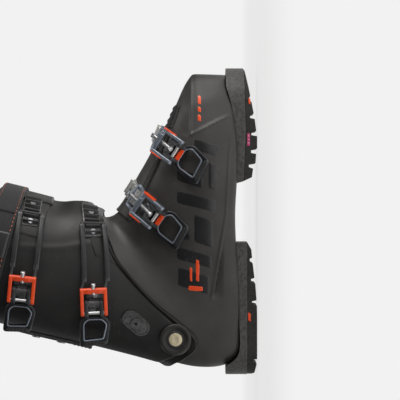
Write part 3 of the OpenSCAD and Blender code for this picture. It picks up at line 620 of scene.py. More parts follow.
class Effects:
    """The surface effects that several finishes share, each a node group."""

    def __init__(self) -> None:
        """Builds every group once."""
        self.grain = self._grain()
        self.wear = self._wear()
        self.dust = self._dust()
        self.streaks = self._streaks()
        self.weave = self._weave()
        self.scratches = self._scratches()

    @staticmethod
    def _start(name: str, inputs: dict[str, float], outputs: Sequence[str]) -> tuple[Tree, dict[str, object]]:
        """Starts a group.

        Args:
            name: Its name.
            inputs: Its input names with their usual values.
            outputs: Its output names.

        Returns:
            Its tree, and its input sockets by name.
        """
        group = bpy.data.node_groups.new(name, "ShaderNodeTree")
        for key, value in inputs.items():
            socket = group.interface.new_socket(name=key, in_out="INPUT", socket_type="NodeSocketFloat")
            socket.default_value = value
        for key in outputs:
            group.interface.new_socket(name=key, in_out="OUTPUT", socket_type="NodeSocketFloat")
        tree = Tree(group)
        entry = tree.add("NodeGroupInput")
        return tree, {key: entry.outputs[key] for key in inputs}

    @staticmethod
    def _end(tree: Tree, **outputs: bpy.types.NodeSocket) -> bpy.types.NodeTree:
        """Links a group's outputs and returns the group."""
        tree.add("NodeGroupOutput", None, **outputs)
        return tree.tree

    def _grain(self) -> bpy.types.NodeTree:
        """Fine moulded texture with slow changes of tone."""
        t, i = self._start("moulded grain", {"Scale": 2600.0}, ["Height", "Tone"])
        fine = t.noise(i["Scale"], 2.0)
        slow = t.noise(34.0, 3.0)
        pores = t.band(t.noise(t.math("MULTIPLY", i["Scale"], 0.33), 1.0), 0.35, 0.62)
        height = t.math("ADD", t.math("MULTIPLY", fine, 0.7), t.math("MULTIPLY", pores, 0.3))
        tone = t.math("ADD", t.math("MULTIPLY", t.band(slow, 0.3, 0.7), 0.65), t.math("MULTIPLY", fine, 0.35))
        return self._end(t, Height=height, Tone=tone)

    def _wear(self) -> bpy.types.NodeTree:
        """A mask of rubbed edges, broken up so that it isn't even."""
        t, i = self._start("edge wear", {"Low": 0.52, "High": 0.6}, ["Mask"])
        point = t.add("NewGeometry").outputs["Pointiness"]
        width = t.math("SUBTRACT", i["High"], i["Low"])
        edge = t.math("DIVIDE", t.math("SUBTRACT", point, i["Low"]), width)
        broken = t.band(t.noise(420.0, 4.0), 0.3, 0.66)
        mask = t.math("MULTIPLY", t.band(edge, 0.0, 1.0), t.math("ADD", 0.35,
                                                                 t.math("MULTIPLY", broken, 0.65)))
        return self._end(t, Mask=mask)

    def _dust(self) -> bpy.types.NodeTree:
        """A mask of faint dust on faces that look up."""
        t, i = self._start("dust", {"Scale": 60.0}, ["Mask"])
        up = t.add("SeparateXYZ", None, i0=t.add("NewGeometry").outputs["Normal"]).outputs[2]
        clouds = t.band(t.noise(i["Scale"], 5.0), 0.42, 0.7)
        specks = t.band(t.noise(1500.0, 1.0), 0.66, 0.72)
        mask = t.math("MULTIPLY", t.band(up, -0.25, 0.95), t.math("MAXIMUM", clouds, specks))
        return self._end(t, Mask=mask)

    def _streaks(self) -> bpy.types.NodeTree:
        """The fine lines of brushed metal along X and Z."""
        t, i = self._start("brushed streaks", {"Scale": 70.0}, ["Height", "Tone"])
        fine = t.noise(i["Scale"], 3.0, (3.0, 26.0, 60.0))
        broad = t.noise(40.0, 2.0)
        tone = t.math("ADD", t.math("MULTIPLY", fine, 0.6), t.math("MULTIPLY", broad, 0.4))
        return self._end(t, Height=fine, Tone=tone)

    def _weave(self) -> bpy.types.NodeTree:
        """Over-and-under threads on the surface map, counted per metre."""
        t, i = self._start("weave", {"Across": 900.0, "Along": 700.0}, ["Height", "Tone"])
        split = t.add("SeparateXYZ", None, i0=t.add("TexCoord").outputs["UV"])
        turn = 2 * math.pi
        a = t.math("SINE", t.math("MULTIPLY", t.math("MULTIPLY", split.outputs[0], i["Across"]), turn))
        b = t.math("SINE", t.math("MULTIPLY", t.math("MULTIPLY", split.outputs[1], i["Along"]), turn))
        height = t.math("ADD", 0.5, t.math("MULTIPLY", 0.5, t.math("MULTIPLY", a, b)))
        fuzz = t.noise(1800.0, 2.0)
        tone = t.math("ADD", t.math("MULTIPLY", height, 0.6), t.math("MULTIPLY", fuzz, 0.4))
        return self._end(t, Height=t.math("ADD", height, t.math("MULTIPLY", fuzz, 0.3)), Tone=tone)

    def _scratches(self) -> bpy.types.NodeTree:
        """A mask of a few thin scuffs at different slants."""
        t, i = self._start("scratches", {"Share": 0.5}, ["Mask"])
        one = t.band(t.noise(9.0, 2.0, (9.0, 9.0, 130.0)), 0.64, 0.67)
        two = t.band(t.noise(11.0, 2.0, (120.0, 8.0, 14.0)), 0.65, 0.68)
        where = t.band(t.noise(24.0, 2.0), 0.48, 0.66)
        lines = t.math("MULTIPLY", t.math("MAXIMUM", one, two), where)
        return self._end(t, Mask=t.math("MULTIPLY", lines, i["Share"]))


@dataclass(frozen=True)
class Finish:
    """One finish of the boot: colours, gloss and the texture of its surface."""

    name: str
    slot: str
    colour: tuple[int, int, int]
    shade: tuple[int, int, int]
    rough: tuple[float, float] = (0.45, 0.6)
    surface: Surface = Surface.MOULDED
    metallic: float = 0.0
    scale: float = 2600.0
    depth: float = 0.00008
    worn: tuple[int, int, int] = (120, 118, 116)
    wear: float = 0.35
    dust: float = 0.06
    scratch: float = 0.15
    sheen: float = 0.0
    coat: float = 0.0
    specular: float = 0.5

    def material(self, effects: Effects) -> bpy.types.Material:
        """The finish as a material, made once.

        Args:
            effects: The shared node groups.

        Returns:
            The material.
        """
        known = bpy.data.materials.get(self.name)
        if known:
            return known
        material = bpy.data.materials.new(self.name)
        material.use_nodes = True
        t = Tree(material.node_tree)
        shader = t.add("BsdfPrincipled")
        t.add("OutputMaterial", None, Surface=shader.outputs[0])
        texture = self._texture(t, effects)
        wear = t.math("MULTIPLY", self._group(t, effects.wear).outputs["Mask"], self.wear)
        scuff = self._group(t, effects.scratches, Share=self.scratch).outputs["Mask"]
        dust = t.math("MULTIPLY", self._group(t, effects.dust).outputs["Mask"], self.dust)
        colour = t.mix(texture.outputs["Tone"], linear(self.colour), linear(self.shade))
        colour = t.mix(t.math("MAXIMUM", wear, scuff), colour, linear(self.worn))
        colour = t.mix(dust, colour, linear((176, 172, 166)))
        low, high = self.rough
        gloss = t.math("ADD", low, t.math("MULTIPLY", texture.outputs["Tone"], high - low))
        gloss = t.math("ADD", gloss, t.math("MULTIPLY", dust, 0.4))
        bump = t.add("Bump", None, Height=texture.outputs["Height"], Distance=self.depth)
        for socket, value in (("Base Color", colour), ("Roughness", gloss), ("Normal", bump.outputs[0])):
            t.tree.links.new(value, shader.inputs[socket])
        for socket, number in (("Metallic", self.metallic), ("Sheen Weight", self.sheen),
                               ("Sheen Roughness", 0.45),
                               ("Coat Weight", self.coat), ("Coat Roughness", 0.12),
                               ("Specular IOR Level", self.specular)):
            shader.inputs[socket].default_value = number
        material.diffuse_color = linear(self.colour)
        return material

    @staticmethod
    def _group(t: Tree, group: bpy.types.NodeTree, **inputs: object) -> bpy.types.Node:
        """Places a shared group in a material."""
        return t.add("Group", {"node_tree": group}, **inputs)

    def _texture(self, t: Tree, effects: Effects) -> bpy.types.Node:
        """Places the group that gives this kind of surface its texture."""
        if self.surface is Surface.BRUSHED:
            return self._group(t, effects.streaks, Scale=self.scale)
        if self.surface is Surface.WOVEN:
            return self._group(t, effects.weave, Across=self.scale, Along=self.scale * 0.8)
        return self._group(t, effects.grain, Scale=self.scale)


SHELL_FINISH = Finish("shell_plastic_charcoal", "shell_plastic", (57, 55, 53), (48, 47, 46), (0.4, 0.52),
                      worn=(88, 86, 83), wear=0.4, depth=0.00005, specular=0.38)
# The cuff's plastic is the shell's plastic painted much darker: painted shade for the cuff's dark look.
CUFF_SHADED_FINISH = Finish("cuff_plastic_painted_shade", "shell_plastic", (25, 24, 23), (19, 18, 18), (0.38, 0.5),
                     worn=(96, 93, 90), wear=0.45, depth=0.00005, specular=0.38)
TRIM_FINISH = Finish("trim_plastic_black", "trim_plastic", (25, 25, 26), (18, 18, 19), (0.32, 0.44),
                     depth=0.00006, specular=0.4)
GLOSS_FINISH = Finish("graphic_gloss_black", "trim_plastic", (24, 24, 25), (19, 19, 20), (0.24, 0.32),
                      surface=Surface.PRINTED, wear=0.1, dust=0.02, depth=0.00001, coat=0.15)
SOLE_FINISH = Finish("sole_plastic_black", "sole_plastic", (32, 32, 32), (24, 24, 24), (0.45, 0.6),
                     depth=0.0001, specular=0.35)
RUBBER_FINISH = Finish("sole_rubber_black", "sole_rubber", (27, 27, 27), (20, 20, 20), (0.62, 0.8),
                       scale=1700, worn=(58, 57, 55), wear=0.5, dust=0.08, depth=0.00014, specular=0.3)
BADGE_FINISH = Finish("badge_pink", "badge", (196, 60, 118), (176, 46, 102), (0.25, 0.38), wear=0.15,
                      depth=0.00003)
STEEL_FINISH = Finish("steel_bright", "steel", (132, 133, 136), (104, 105, 108), (0.24, 0.38),
                      surface=Surface.BRUSHED, metallic=1.0, scale=70, worn=(190, 190, 192), depth=0.00002)
BRASS_FINISH = Finish("pivot_brass", "brass", (206, 196, 168), (186, 172, 138), (0.3, 0.44),
                      surface=Surface.BRUSHED, metallic=0.5, scale=60, worn=(232, 226, 206), depth=0.00002)
BAIL_FINISH = Finish("bail_steel", "bail_steel", (150, 153, 158), (112, 115, 121), (0.18, 0.3),
                     surface=Surface.BRUSHED, metallic=1.0, scale=90, worn=(214, 215, 218), depth=0.00002)
ARM_FINISH = Finish("bail_arm_dark", "bail_steel", (44, 44, 45), (33, 33, 34), (0.34, 0.46),
                    surface=Surface.BRUSHED, metallic=0.4, scale=70, worn=(120, 120, 122), wear=0.6,
                    depth=0.00003)
LADDER_FINISH = Finish("ladder_aluminium", "ladder_aluminium", (92, 92, 91), (68, 68, 68), (0.36, 0.52),
                       surface=Surface.BRUSHED, metallic=0.85, scale=50, worn=(150, 150, 150), wear=0.6,
                       depth=0.00003)
RACK_FINISH = Finish("rack_dark", "ladder_aluminium", (38, 38, 38), (27, 27, 28), (0.32, 0.44),
                     surface=Surface.BRUSHED, metallic=0.35, scale=50, worn=(140, 140, 140), wear=0.8,
                     depth=0.00003)
LEVER_FINISH = Finish("lever_aluminium_dark", "lever_aluminium", (40, 41, 43), (27, 28, 30), (0.3, 0.42),
                      surface=Surface.BRUSHED, metallic=0.55, scale=60, worn=(150, 153, 158), wear=0.95,
                      depth=0.00003)
CHEEK_FINISH = Finish("lever_cheek_steel", "lever_aluminium", (158, 166, 178), (118, 126, 138), (0.3, 0.42),
                      surface=Surface.BRUSHED, metallic=0.8, scale=60, worn=(176, 180, 188), wear=0.9,
                      depth=0.00003)
BASE_FINISH = Finish("base_aluminium_dark", "base_aluminium", (36, 36, 38), (26, 26, 28), (0.34, 0.46),
                     surface=Surface.BRUSHED, metallic=0.5, scale=60, worn=(112, 112, 114), wear=0.6,
                     depth=0.00003)
ORANGE_FINISH = Finish("yoke_orange", "orange", (232, 74, 18), (206, 58, 12), (0.3, 0.42),
                       worn=(245, 128, 72), wear=0.4, depth=0.00003, dust=0.02)
GRIP_FINISH = Finish("grip_rubber", "grip", (27, 27, 28), (19, 19, 20), (0.5, 0.66), scale=1900, depth=0.0001)
BOARD_FINISH = Finish("board_foam", "board", (92, 94, 98), (76, 78, 82), (0.7, 0.85), scale=1200,
                      depth=0.0002)
WEBBING_FINISH = Finish("webbing_black", "webbing", (32, 32, 33), (18, 18, 19), (0.7, 0.86),
                        surface=Surface.WOVEN,
                        scale=560, worn=(70, 70, 72), wear=0.2, sheen=0.15, depth=0.00025)
LINER_FINISH = Finish("liner_fabric", "liner", (38, 38, 40), (24, 24, 25), (0.75, 0.9), surface=Surface.WOVEN,
                      scale=620, worn=(70, 70, 72), wear=0.2, sheen=0.2, depth=0.00022)
FOOTBED_FINISH = Finish("footbed_felt", "footbed", (70, 72, 76), (54, 56, 60), (0.8, 0.92), scale=1400,
                        sheen=0.3, depth=0.0002)
THREAD_FINISH = Finish("thread_orange", "orange", (226, 96, 44), (196, 74, 30), (0.6, 0.75),
                       surface=Surface.WOVEN, scale=2400, sheen=0.2, depth=0.0001)


# ---- Making pieces ----------------------------------------------------------------------------


class Workshop:
    """Turns meshes into dressed pieces that ride on the boot's bodies."""

    def __init__(self, nodes: dict[str, bpy.types.Object]) -> None:
        """Keeps the CAD nodes and builds the shared effects."""
        self.nodes = nodes
        self.effects = Effects()
        self.made: list[str] = []

    def dress(self, obj: bpy.types.Object, finish: Finish) -> None:
        """Gives an object one finish."""
        obj.data.materials.clear()
        obj.data.materials.append(finish.material(self.effects))

    def piece(self, name: str, solid: Solid, finish: Finish, body: str | None, replaces: Sequence[str] = (),
              sharp: float = 38.0) -> bpy.types.Object:
        """Makes one piece.

        Args:
            name: Its name.
            solid: Its shape.
            finish: Its finish.
            body: The body it rides on, or None to leave it on no body.
            replaces: The CAD nodes it stands for.
            sharp: The angle above which its edges stay sharp.

        Returns:
            The piece.
        """
        obj = bpy.data.objects.new(name, solid.mesh(name, sharp))
        bpy.context.scene.collection.objects.link(obj)
        self.dress(obj, finish)
        if body:
            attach(obj, body)
        if replaces:
            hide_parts(*replaces)
        self.made.append(name)
        LOG.info("%s: %d faces on %s", name, len(obj.data.polygons), body or "two bodies")
        return obj

    @staticmethod
    def round_edges(obj: bpy.types.Object, width: float, angle: float = 35.0, segments: int = 3) -> None:
        """Rounds an object's sharp edges by a width in millimetres."""
        bevel = obj.modifiers.new("rounded edges", "BEVEL")
        bevel.width, bevel.segments, bevel.limit_method = width * MM, segments, "ANGLE"
        bevel.angle_limit = math.radians(angle)
        bevel.use_clamp_overlap = True

    def keep(self, finish: Finish, edge: float, *names: str) -> None:
        """Dresses CAD nodes that stay as they are, with rounded edges.

        Args:
            finish: Their finish.
            edge: The width in millimetres of the rounding, or 0 for none.
            names: The nodes.
        """
        for name in names:
            node = self.nodes[name]
            self.dress(node, finish)
            if edge:
                self.round_edges(node, edge)
            LOG.info("%s: CAD node kept", name)


# ---- Sub-assemblies ---------------------------------------------------------------------------


def lookup(x: np.ndarray, table: Sequence[tuple[float, float]]) -> np.ndarray:
    """A value read from a table by straight lines."""
    a = np.array(table, float)
    return np.interp(x, a[:, 0], a[:, 1])


def line_side(x: np.ndarray, z: np.ndarray, points: Sequence[tuple[float, float]]) -> np.ndarray:
    """How far above an X-Z line each spot is, in millimetres."""
    a = np.array(points, float)
    return z - np.interp(x, a[:, 0], a[:, 1])


def hump(d: np.ndarray, width: float) -> np.ndarray:
    """A smooth ridge of height 1 at distance 0."""
    return np.exp(-(d / width) ** 2)


def rim(t: np.ndarray, length: float) -> np.ndarray:
    """How far a wall draws in near its ends, as a share of a quarter round, from end distance t."""
    u = np.clip(1 - t / length, 0, 1)
    return 1 - np.sqrt(np.maximum(0, 1 - u * u))


def slab(layer: Layer, s: tuple[float, float], g: tuple[float, float], low: float, high: float,
         size: tuple[int, int], turn: float = 0.7, bulge: float = 0.0, lean: float = 0.0) -> Solid:
    """A skin patch of a layer with rounded rims.

    Args:
        layer: The skin it lies on.
        s: Its range of stations.
        g: Its range round the girth.
        low: Height of its inner face.
        high: Height of its outer face.
        size: Cells along s and g.
        turn: Radius of its rims.
        bulge: Extra height in its middle.
        lean: How far, in stations, its ends slant from one side to the other.

    Returns:
        The patch as a solid.
    """
    u, v = np.meshgrid(np.linspace(0, 1, size[0] + 1), np.linspace(0, 1, size[1] + 1), indexing="ij")
    ss = s[0] + (s[1] - s[0]) * u + lean * (v - 0.5)
    gg = g[0] + (g[1] - g[0]) * v
    base = FORM.on(layer, ss, gg, high)
    length = np.linalg.norm(np.diff(base, axis=0), axis=-1).sum(0).mean()
    width = np.linalg.norm(np.diff(base, axis=1), axis=-1).sum(1).mean()
    edge = np.minimum(np.minimum(u, 1 - u) * length, np.minimum(v, 1 - v) * width)
    top = high + bulge * np.sin(math.pi * u) * np.sin(math.pi * v) - turn * rim(edge, turn * 1.6)
    uv = np.stack([u * length, v * width], -1)
    return Solid().skin(FORM.on(layer, ss, gg, top), FORM.on(layer, ss, gg, low), False, uv=uv)


@dataclass
class LowerShell:
    """The lower shell with its toe box, side panel, overlap flap, gasket and side graphics."""

    wall: float = 4.5
    flap_wall: float = 3.0
    gap: float = 0.35
    boss_radius: float = 12.0
    boss_foot: float = 34.5
    boss_face: float = 41.5
    panel_line: tuple[tuple[float, float], ...] = ((39, 44.2), (120.7, 30.6), (220, 24.8))
    toe_line: tuple[tuple[float, float], ...] = ((201, 66.3), (263.5, 65.6))
    facet: tuple[tuple[float, float], tuple[float, float]] = ((201, 66.3), (221.4, 25.5))
    top: tuple[tuple[float, float], ...] = ((0, 12.8), (0.25, 13.4), (0.5, 14), (1, 14))

    def relief(self, p: np.ndarray, g: np.ndarray) -> np.ndarray:
        """How far the moulded lines and hollows stand off the body surface.

        Args:
            p: Points of the surface.
            g: Their girth positions.

        Returns:
            Heights in millimetres.
        """
        x, z = p[..., 0], p[..., 2]
        a = np.abs(g)
        d = line_side(x, z, self.panel_line)
        along = smooth(x, 38, 48) * smooth(x, 216, 196)
        out = -2.7 * smooth(-d, 0.2, 2.4) * along * smooth(a, 0.25, 0.32) * smooth(a, 0.72, 0.64)
        out = out + 0.75 * hump(d - 0.9, 1.3) * along * smooth(a, 0.25, 0.32)
        (x0, z0), (x1, z1) = self.facet
        across = ((x - x0) * (z1 - z0) - (z - z0) * (x1 - x0)) / math.hypot(x1 - x0, z1 - z0)
        down = smooth(z, 68.5, 64) * smooth(z, 24, 30) * smooth(a, 0.3, 0.36)
        out = out + (0.9 * hump(across, 1.2) - 0.8 * smooth(-across, 0, 1.6) * smooth(-across, 26, 10)) * down
        t = line_side(x, z, self.toe_line)
        ahead = smooth(x, 198, 204) * smooth(x, 262, 258) * smooth(a, 0.12, 0.2)
        return out + (0.8 * hump(t + 0.8, 1.3) - 0.9 * smooth(t, 0, 1.8) * smooth(t, 16, 6)) * ahead

    def body(self) -> Solid:
        """The shell itself with the pivot bosses."""
        rows, columns = 250, 288
        t, g = np.meshgrid(np.linspace(0, 1, rows + 1), np.linspace(-1, 1, columns + 1), indexing="ij")
        top = lookup(np.abs(g), self.top)
        s = top * t**1.12
        base = FORM.body(s, g)
        edge = (top - s) * 34
        under = 0.4 * smooth(np.abs(g), 0.62, 0.8) * smooth(s, 11.6, 10.6) * smooth(s, 0.3, 1.2)
        high = self.relief(base, g) - 0.9 * rim(edge, 2.4) + under
        front = 2.2 * rim(s * 6.5, 3.4)
        outer = FORM.body(s, g, high - front)
        inner = FORM.body(np.maximum(s, 1.25), g, -self.wall)
        solid = Solid().skin(outer, inner, True, cap=True)
        for side in Side:
            f = side_plane(side, self.boss_foot, FORM.pivot_height)
            h, r = self.boss_face - self.boss_foot, self.boss_radius
            solid.lathe(f, [(4.9, 0), (r, 0), (r, h - 0.6), (r - 0.6, h), (4.9, h)])
        return solid

    def bars(self, surface: "Projector") -> list[tuple[str, Solid, Finish]]:
        """The side graphics: slanted gloss bars and small dashes, with no lettering."""
        made = []
        for k, (x0, x1, z0, z1, lean) in enumerate((
                (44, 62, 47, 78, 9), (70, 82, 45, 79, 9), (90, 117, 43.5, 62, 6), (97, 104, 66, 79, 4),
                (125, 137, 41, 79, 9), (145, 171, 39, 48, 4), (148, 160, 54, 79, 8), (179, 190, 37, 62, 7))):
            made.append((f"side_bar_{k + 1}", surface.patch(x0, x1, z0, z1, lean, 0.22), GLOSS_FINISH))
        for k, (x0, x1, z0, z1) in enumerate(((47, 52, 53, 68), (56, 78, 57, 60.5), (56, 70, 64, 66.5),
                                              (214, 220, 55.5, 58.5), (223, 228, 55.5, 58.5),
                                              (231, 239, 55.5, 58.5))):
            made.append((f"side_dash_{k + 1}", surface.patch(x0, x1, z0, z1, 1.2, 0.34), ORANGE_FINISH))
        return made

    def build(self, shop: Workshop) -> None:
        """Makes and dresses the shell's pieces."""
        body = self.body()
        shell = shop.piece("shell_body", body, SHELL_FINISH, "shell", ["lower_shell"], sharp=30)
        top = self.gap + self.flap_wall
        flap = slab(Layer.SHELL, (4.15, 8.5), (-0.19, 0.42), self.gap, top, (90, 90), 1.3)
        shop.piece("shell_overlap_flap", flap, SHELL_FINISH, "shell", ["overlap_flap"])
        rib = slab(Layer.SHELL, (5.2, 8.3), (-0.178, -0.168), top - 0.3, top + 0.5, (60, 6), 0.4)
        shop.piece("flap_seam_rib", rib, TRIM_FINISH, "shell")
        shop.piece("toe_snow_gasket", self.gasket(), TRIM_FINISH, "shell", ["toe_gasket"])
        surface = Projector(shell)
        for name, solid, finish in self.bars(surface):
            shop.piece(name, solid, finish, "shell")

    def gasket(self) -> Solid:
        """The folded snow gasket in front of the flap."""
        u, v = np.meshgrid(np.linspace(0, 1, 41), np.linspace(0, 1, 61), indexing="ij")
        zig = 0.09 * np.abs(((v * 5) % 2) - 1)
        first, last = 2.95, 4.06
        s = first + 0.06 + (last - first - 0.16) * u + zig * (1 - u)
        g = -0.20 + 0.44 * v
        folds = 0.5 * np.sin(u * math.pi * 7) * np.sin(math.pi * v)
        edge = np.minimum(np.minimum(u, 1 - u) * 32, np.minimum(v, 1 - v) * 50)
        outer = FORM.body(s, g, 1.35 + folds - 0.8 * rim(edge, 1.6))
        return Solid().skin(outer, FORM.body(s, g, self.gap), False)


class Projector:
    """Lays flat outlines on the lateral side of a piece."""

    def __init__(self, obj: bpy.types.Object) -> None:
        """Reads the piece's mesh for ray casts."""
        self.tree = BVHTree.FromPolygons([v.co.copy() for v in obj.data.vertices],
                                         [tuple(p.vertices) for p in obj.data.polygons])

    def drop(self, x: float, z: float, out: float) -> np.ndarray:
        """The point out millimetres off the side at X and Z, in millimetres."""
        hit, normal, _, _ = self.tree.ray_cast(Vector((x * MM, -0.2, z * MM)), Vector((0, 1, 0)))
        if hit is None:
            return np.array([x, -30.0, z])
        normal = normal if normal.y < 0 else -normal
        return np.array(hit) / MM + np.array(normal) * out

    def patch(self, x0: float, x1: float, z0: float, z1: float, lean: float, height: float) -> Solid:
        """A thin slanted bar with rounded corners that lies on the side.

        Args:
            x0: Its low X at its foot.
            x1: Its high X at its foot.
            z0: Its low Z.
            z1: Its high Z.
            lean: How far X moves from foot to head.
            height: How far it stands off.

        Returns:
            The bar.
        """
        nx, nz = max(6, int((x1 - x0) / 1.2)), max(6, int((z1 - z0) / 1.2))
        corner = min(1.6, 0.3 * (x1 - x0), 0.3 * (z1 - z0))
        outer, inner = np.zeros((nz + 1, nx + 1, 3)), np.zeros((nz + 1, nx + 1, 3))
        for j in range(nz + 1):
            z = z0 + (z1 - z0) * j / nz
            inset = corner * float(rim(np.array(min(z - z0, z1 - z)), corner))
            for i in range(nx + 1):
                x = x0 + inset + (x1 - x0 - 2 * inset) * i / nx + lean * j / nz
                edge = min(i, nx - i, j, nz - j) == 0
                outer[j, i] = self.drop(x, z, height * (0.35 if edge else 1.0))
                inner[j, i] = self.drop(x, z, -0.5)
        return Solid().skin(outer, inner, False)


@dataclass
class Cuff:
    """The hinged cuff with its flap, pivot bosses, cant adjuster dots and strap keeper."""

    wall: float = 3.8
    gap: float = 0.35
    flap_wall: float = 2.6
    boss_radius: float = 15.5
    boss: tuple[float, float] = (42.1, 48.0)
    edge: tuple[tuple[float, float], ...] = (
        (0, 9.7), (0.1, 11.3), (0.2, 12.6), (0.37, 13), (0.47, 12.23), (0.54, 11.5), (0.6, 11.2),
        (0.65, 11.1), (0.7, 11.4), (0.77, 12.1), (0.86, 12.7), (1, 13.1))
    top: float = 18.0
    bush_radius: float = 7.5

    def body(self) -> Solid:
        """The cuff with a rolled lower rim."""
        rows, columns = 220, 300
        t, g = np.meshgrid(np.linspace(0, 1, rows + 1), np.linspace(-1, 1, columns + 1), indexing="ij")
        a = np.abs(g)
        kernel = np.hanning(15) / np.hanning(15).sum()
        line = lookup(np.abs(np.linspace(-1, 1, columns + 1)), self.edge)
        line = np.convolve(np.concatenate([line[-8:-1], line, line[1:8]]), kernel, "valid")
        low = np.broadcast_to(line, g.shape)
        s = low + (self.top - low) * t**1.25
        p = FORM.cuff(s, g)
        step = np.linalg.norm(np.diff(p, axis=0), axis=-1)
        rise = np.concatenate([np.zeros((1, columns + 1)), np.cumsum(step, 0)])
        fall = rise[-1] - rise
        roll = (1.7 * hump(rise - 3.2, 2.8) - 1.7 * rim(rise, 2.6)
                + 0.6 * hump(fall - 2.6, 2.2) - 1.4 * rim(fall, 2.2))
        groove = -0.7 * hump(rise - 9.4, 1.8)
        ridge = 0.7 * hump((a - (0.30 + 0.035 * (s - 13))) * 150, 2.4)
        ridge = ridge * smooth(s, 13.4, 14.2) * smooth(s, 17.9, 17.2)
        outer = FORM.cuff(s, g, self.wall + roll + groove + ridge)
        inner = FORM.cuff(s, g, 0.5 * rim(rise, 2.6) + 0.4 * rim(fall, 2.2))
        solid = Solid().skin(outer, inner, True)
        for side in Side:
            f = side_plane(side, self.boss[0], FORM.pivot_height)
            h, r, b = self.boss[1] - self.boss[0], self.boss_radius, self.bush_radius
            solid.lathe(f, [(b, 0), (r - 0.4, 0), (r, 0.5), (r, h - 1.2), (r - 0.4, h - 0.5), (r - 1.3, h),
                            (b + 3.6, h), (b + 3.0, h - 0.5), (b + 1.0, h - 0.5), (b + 0.5, h), (b, h)], 64)
        return solid

    def build(self, shop: Workshop) -> None:
        """Makes and dresses the cuff's pieces."""
        # The cuff, its flap and its rack panels carry the darkened plastic, which is painted shade.
        shop.piece("cuff_body", self.body(), CUFF_SHADED_FINISH, "cuff", ["cuff_shell"], sharp=40)
        flap = slab(Layer.CUFF, (16.25, 17.95), (-0.13, 0.34), self.gap, self.gap + self.flap_wall,
                    (60, 80), 1.2, lean=0.1)
        shop.piece("cuff_overlap_flap", flap, CUFF_SHADED_FINISH, "cuff", ["cuff_flap"])
        shop.piece("cuff_collar_trim", self.collar(), TRIM_FINISH, "cuff")
        keeper = slab(Layer.CUFF, (17.25, 17.9), (-0.50, -0.40), 6.2, 8, (20, 20), 0.7)
        shop.piece("strap_slot_keeper", keeper, TRIM_FINISH, "cuff", ["strap_keeper"])
        dots = Solid()
        for z, x in ((134.0, 19.3), (107.0, 11.3)):
            f = self.side_frame(x, z)
            dots.lathe(f.raised(-0.6), [(1.3, 0), (1.3, 0.9), (0.9, 1.15)], 20)
        shop.piece("cant_marker_dots", dots, BASE_FINISH, "cuff")
        for word, s, g in (("lower", (13.3, 14.35), (-0.40, -0.04)),
                           ("upper", (16.35, 17.12), (-0.38, -0.10))):
            panel = slab(Layer.CUFF, s, g, -0.4, 0.95, (50, 60), 0.7, lean=0.16 if word == "lower" else -0.1)
            shop.piece(f"{word}_rack_panel", panel, CUFF_SHADED_FINISH, "cuff")
        ribs = Solid()
        for k in range(5):
            s = 15.12 + 0.085 * k
            p = FORM.cuff(np.array(s), np.array(1.0), self.wall)
            q = FORM.cuff(np.array(s + 0.05), np.array(1.0), self.wall)
            d = unit(np.array([q[0] - p[0], 0, q[2] - p[2]]))
            n = np.array([-d[2], 0, d[0]])
            start = np.array([p[0], 0, p[2]]) + n * 3.5
            ribs.tube([start + np.array([0, y, 0]) + d * 0.12 * y for y in np.linspace(-8, 8, 9)], 0.75, 8)
        shop.piece("spine_blade_ribs", ribs, TRIM_FINISH, "cuff")

    def collar(self) -> Solid:
        """The soft trim that wraps the cuff's upper rim."""
        s, g = np.meshgrid(np.linspace(17.86, 18.03, 12), np.linspace(-1, 1, 241), indexing="ij")
        u = (s - 17.86) / 0.17
        outer = FORM.cuff(s, g, self.wall + 0.15 + 0.5 * np.sin(math.pi * u))
        inner = FORM.cuff(s, g, self.wall - 2.6)
        return Solid().skin(outer, inner, True)

    @staticmethod
    def side_frame(x: float, z: float) -> Frame:
        """The frame on the cuff's lateral side at X and Z, found by trying spots."""
        s, g = np.meshgrid(np.linspace(12.5, 15.5, 120), np.linspace(-0.95, -0.2, 120), indexing="ij")
        p = FORM.on(Layer.CUFF, s, g)
        i = int(np.argmin((p[..., 0] - x) ** 2 + (p[..., 2] - z) ** 2))
        spot = (float(s.ravel()[i]), float(g.ravel()[i]))
        return Path(Layer.CUFF, spot, (spot[0] + 1, spot[1])).frame(0)


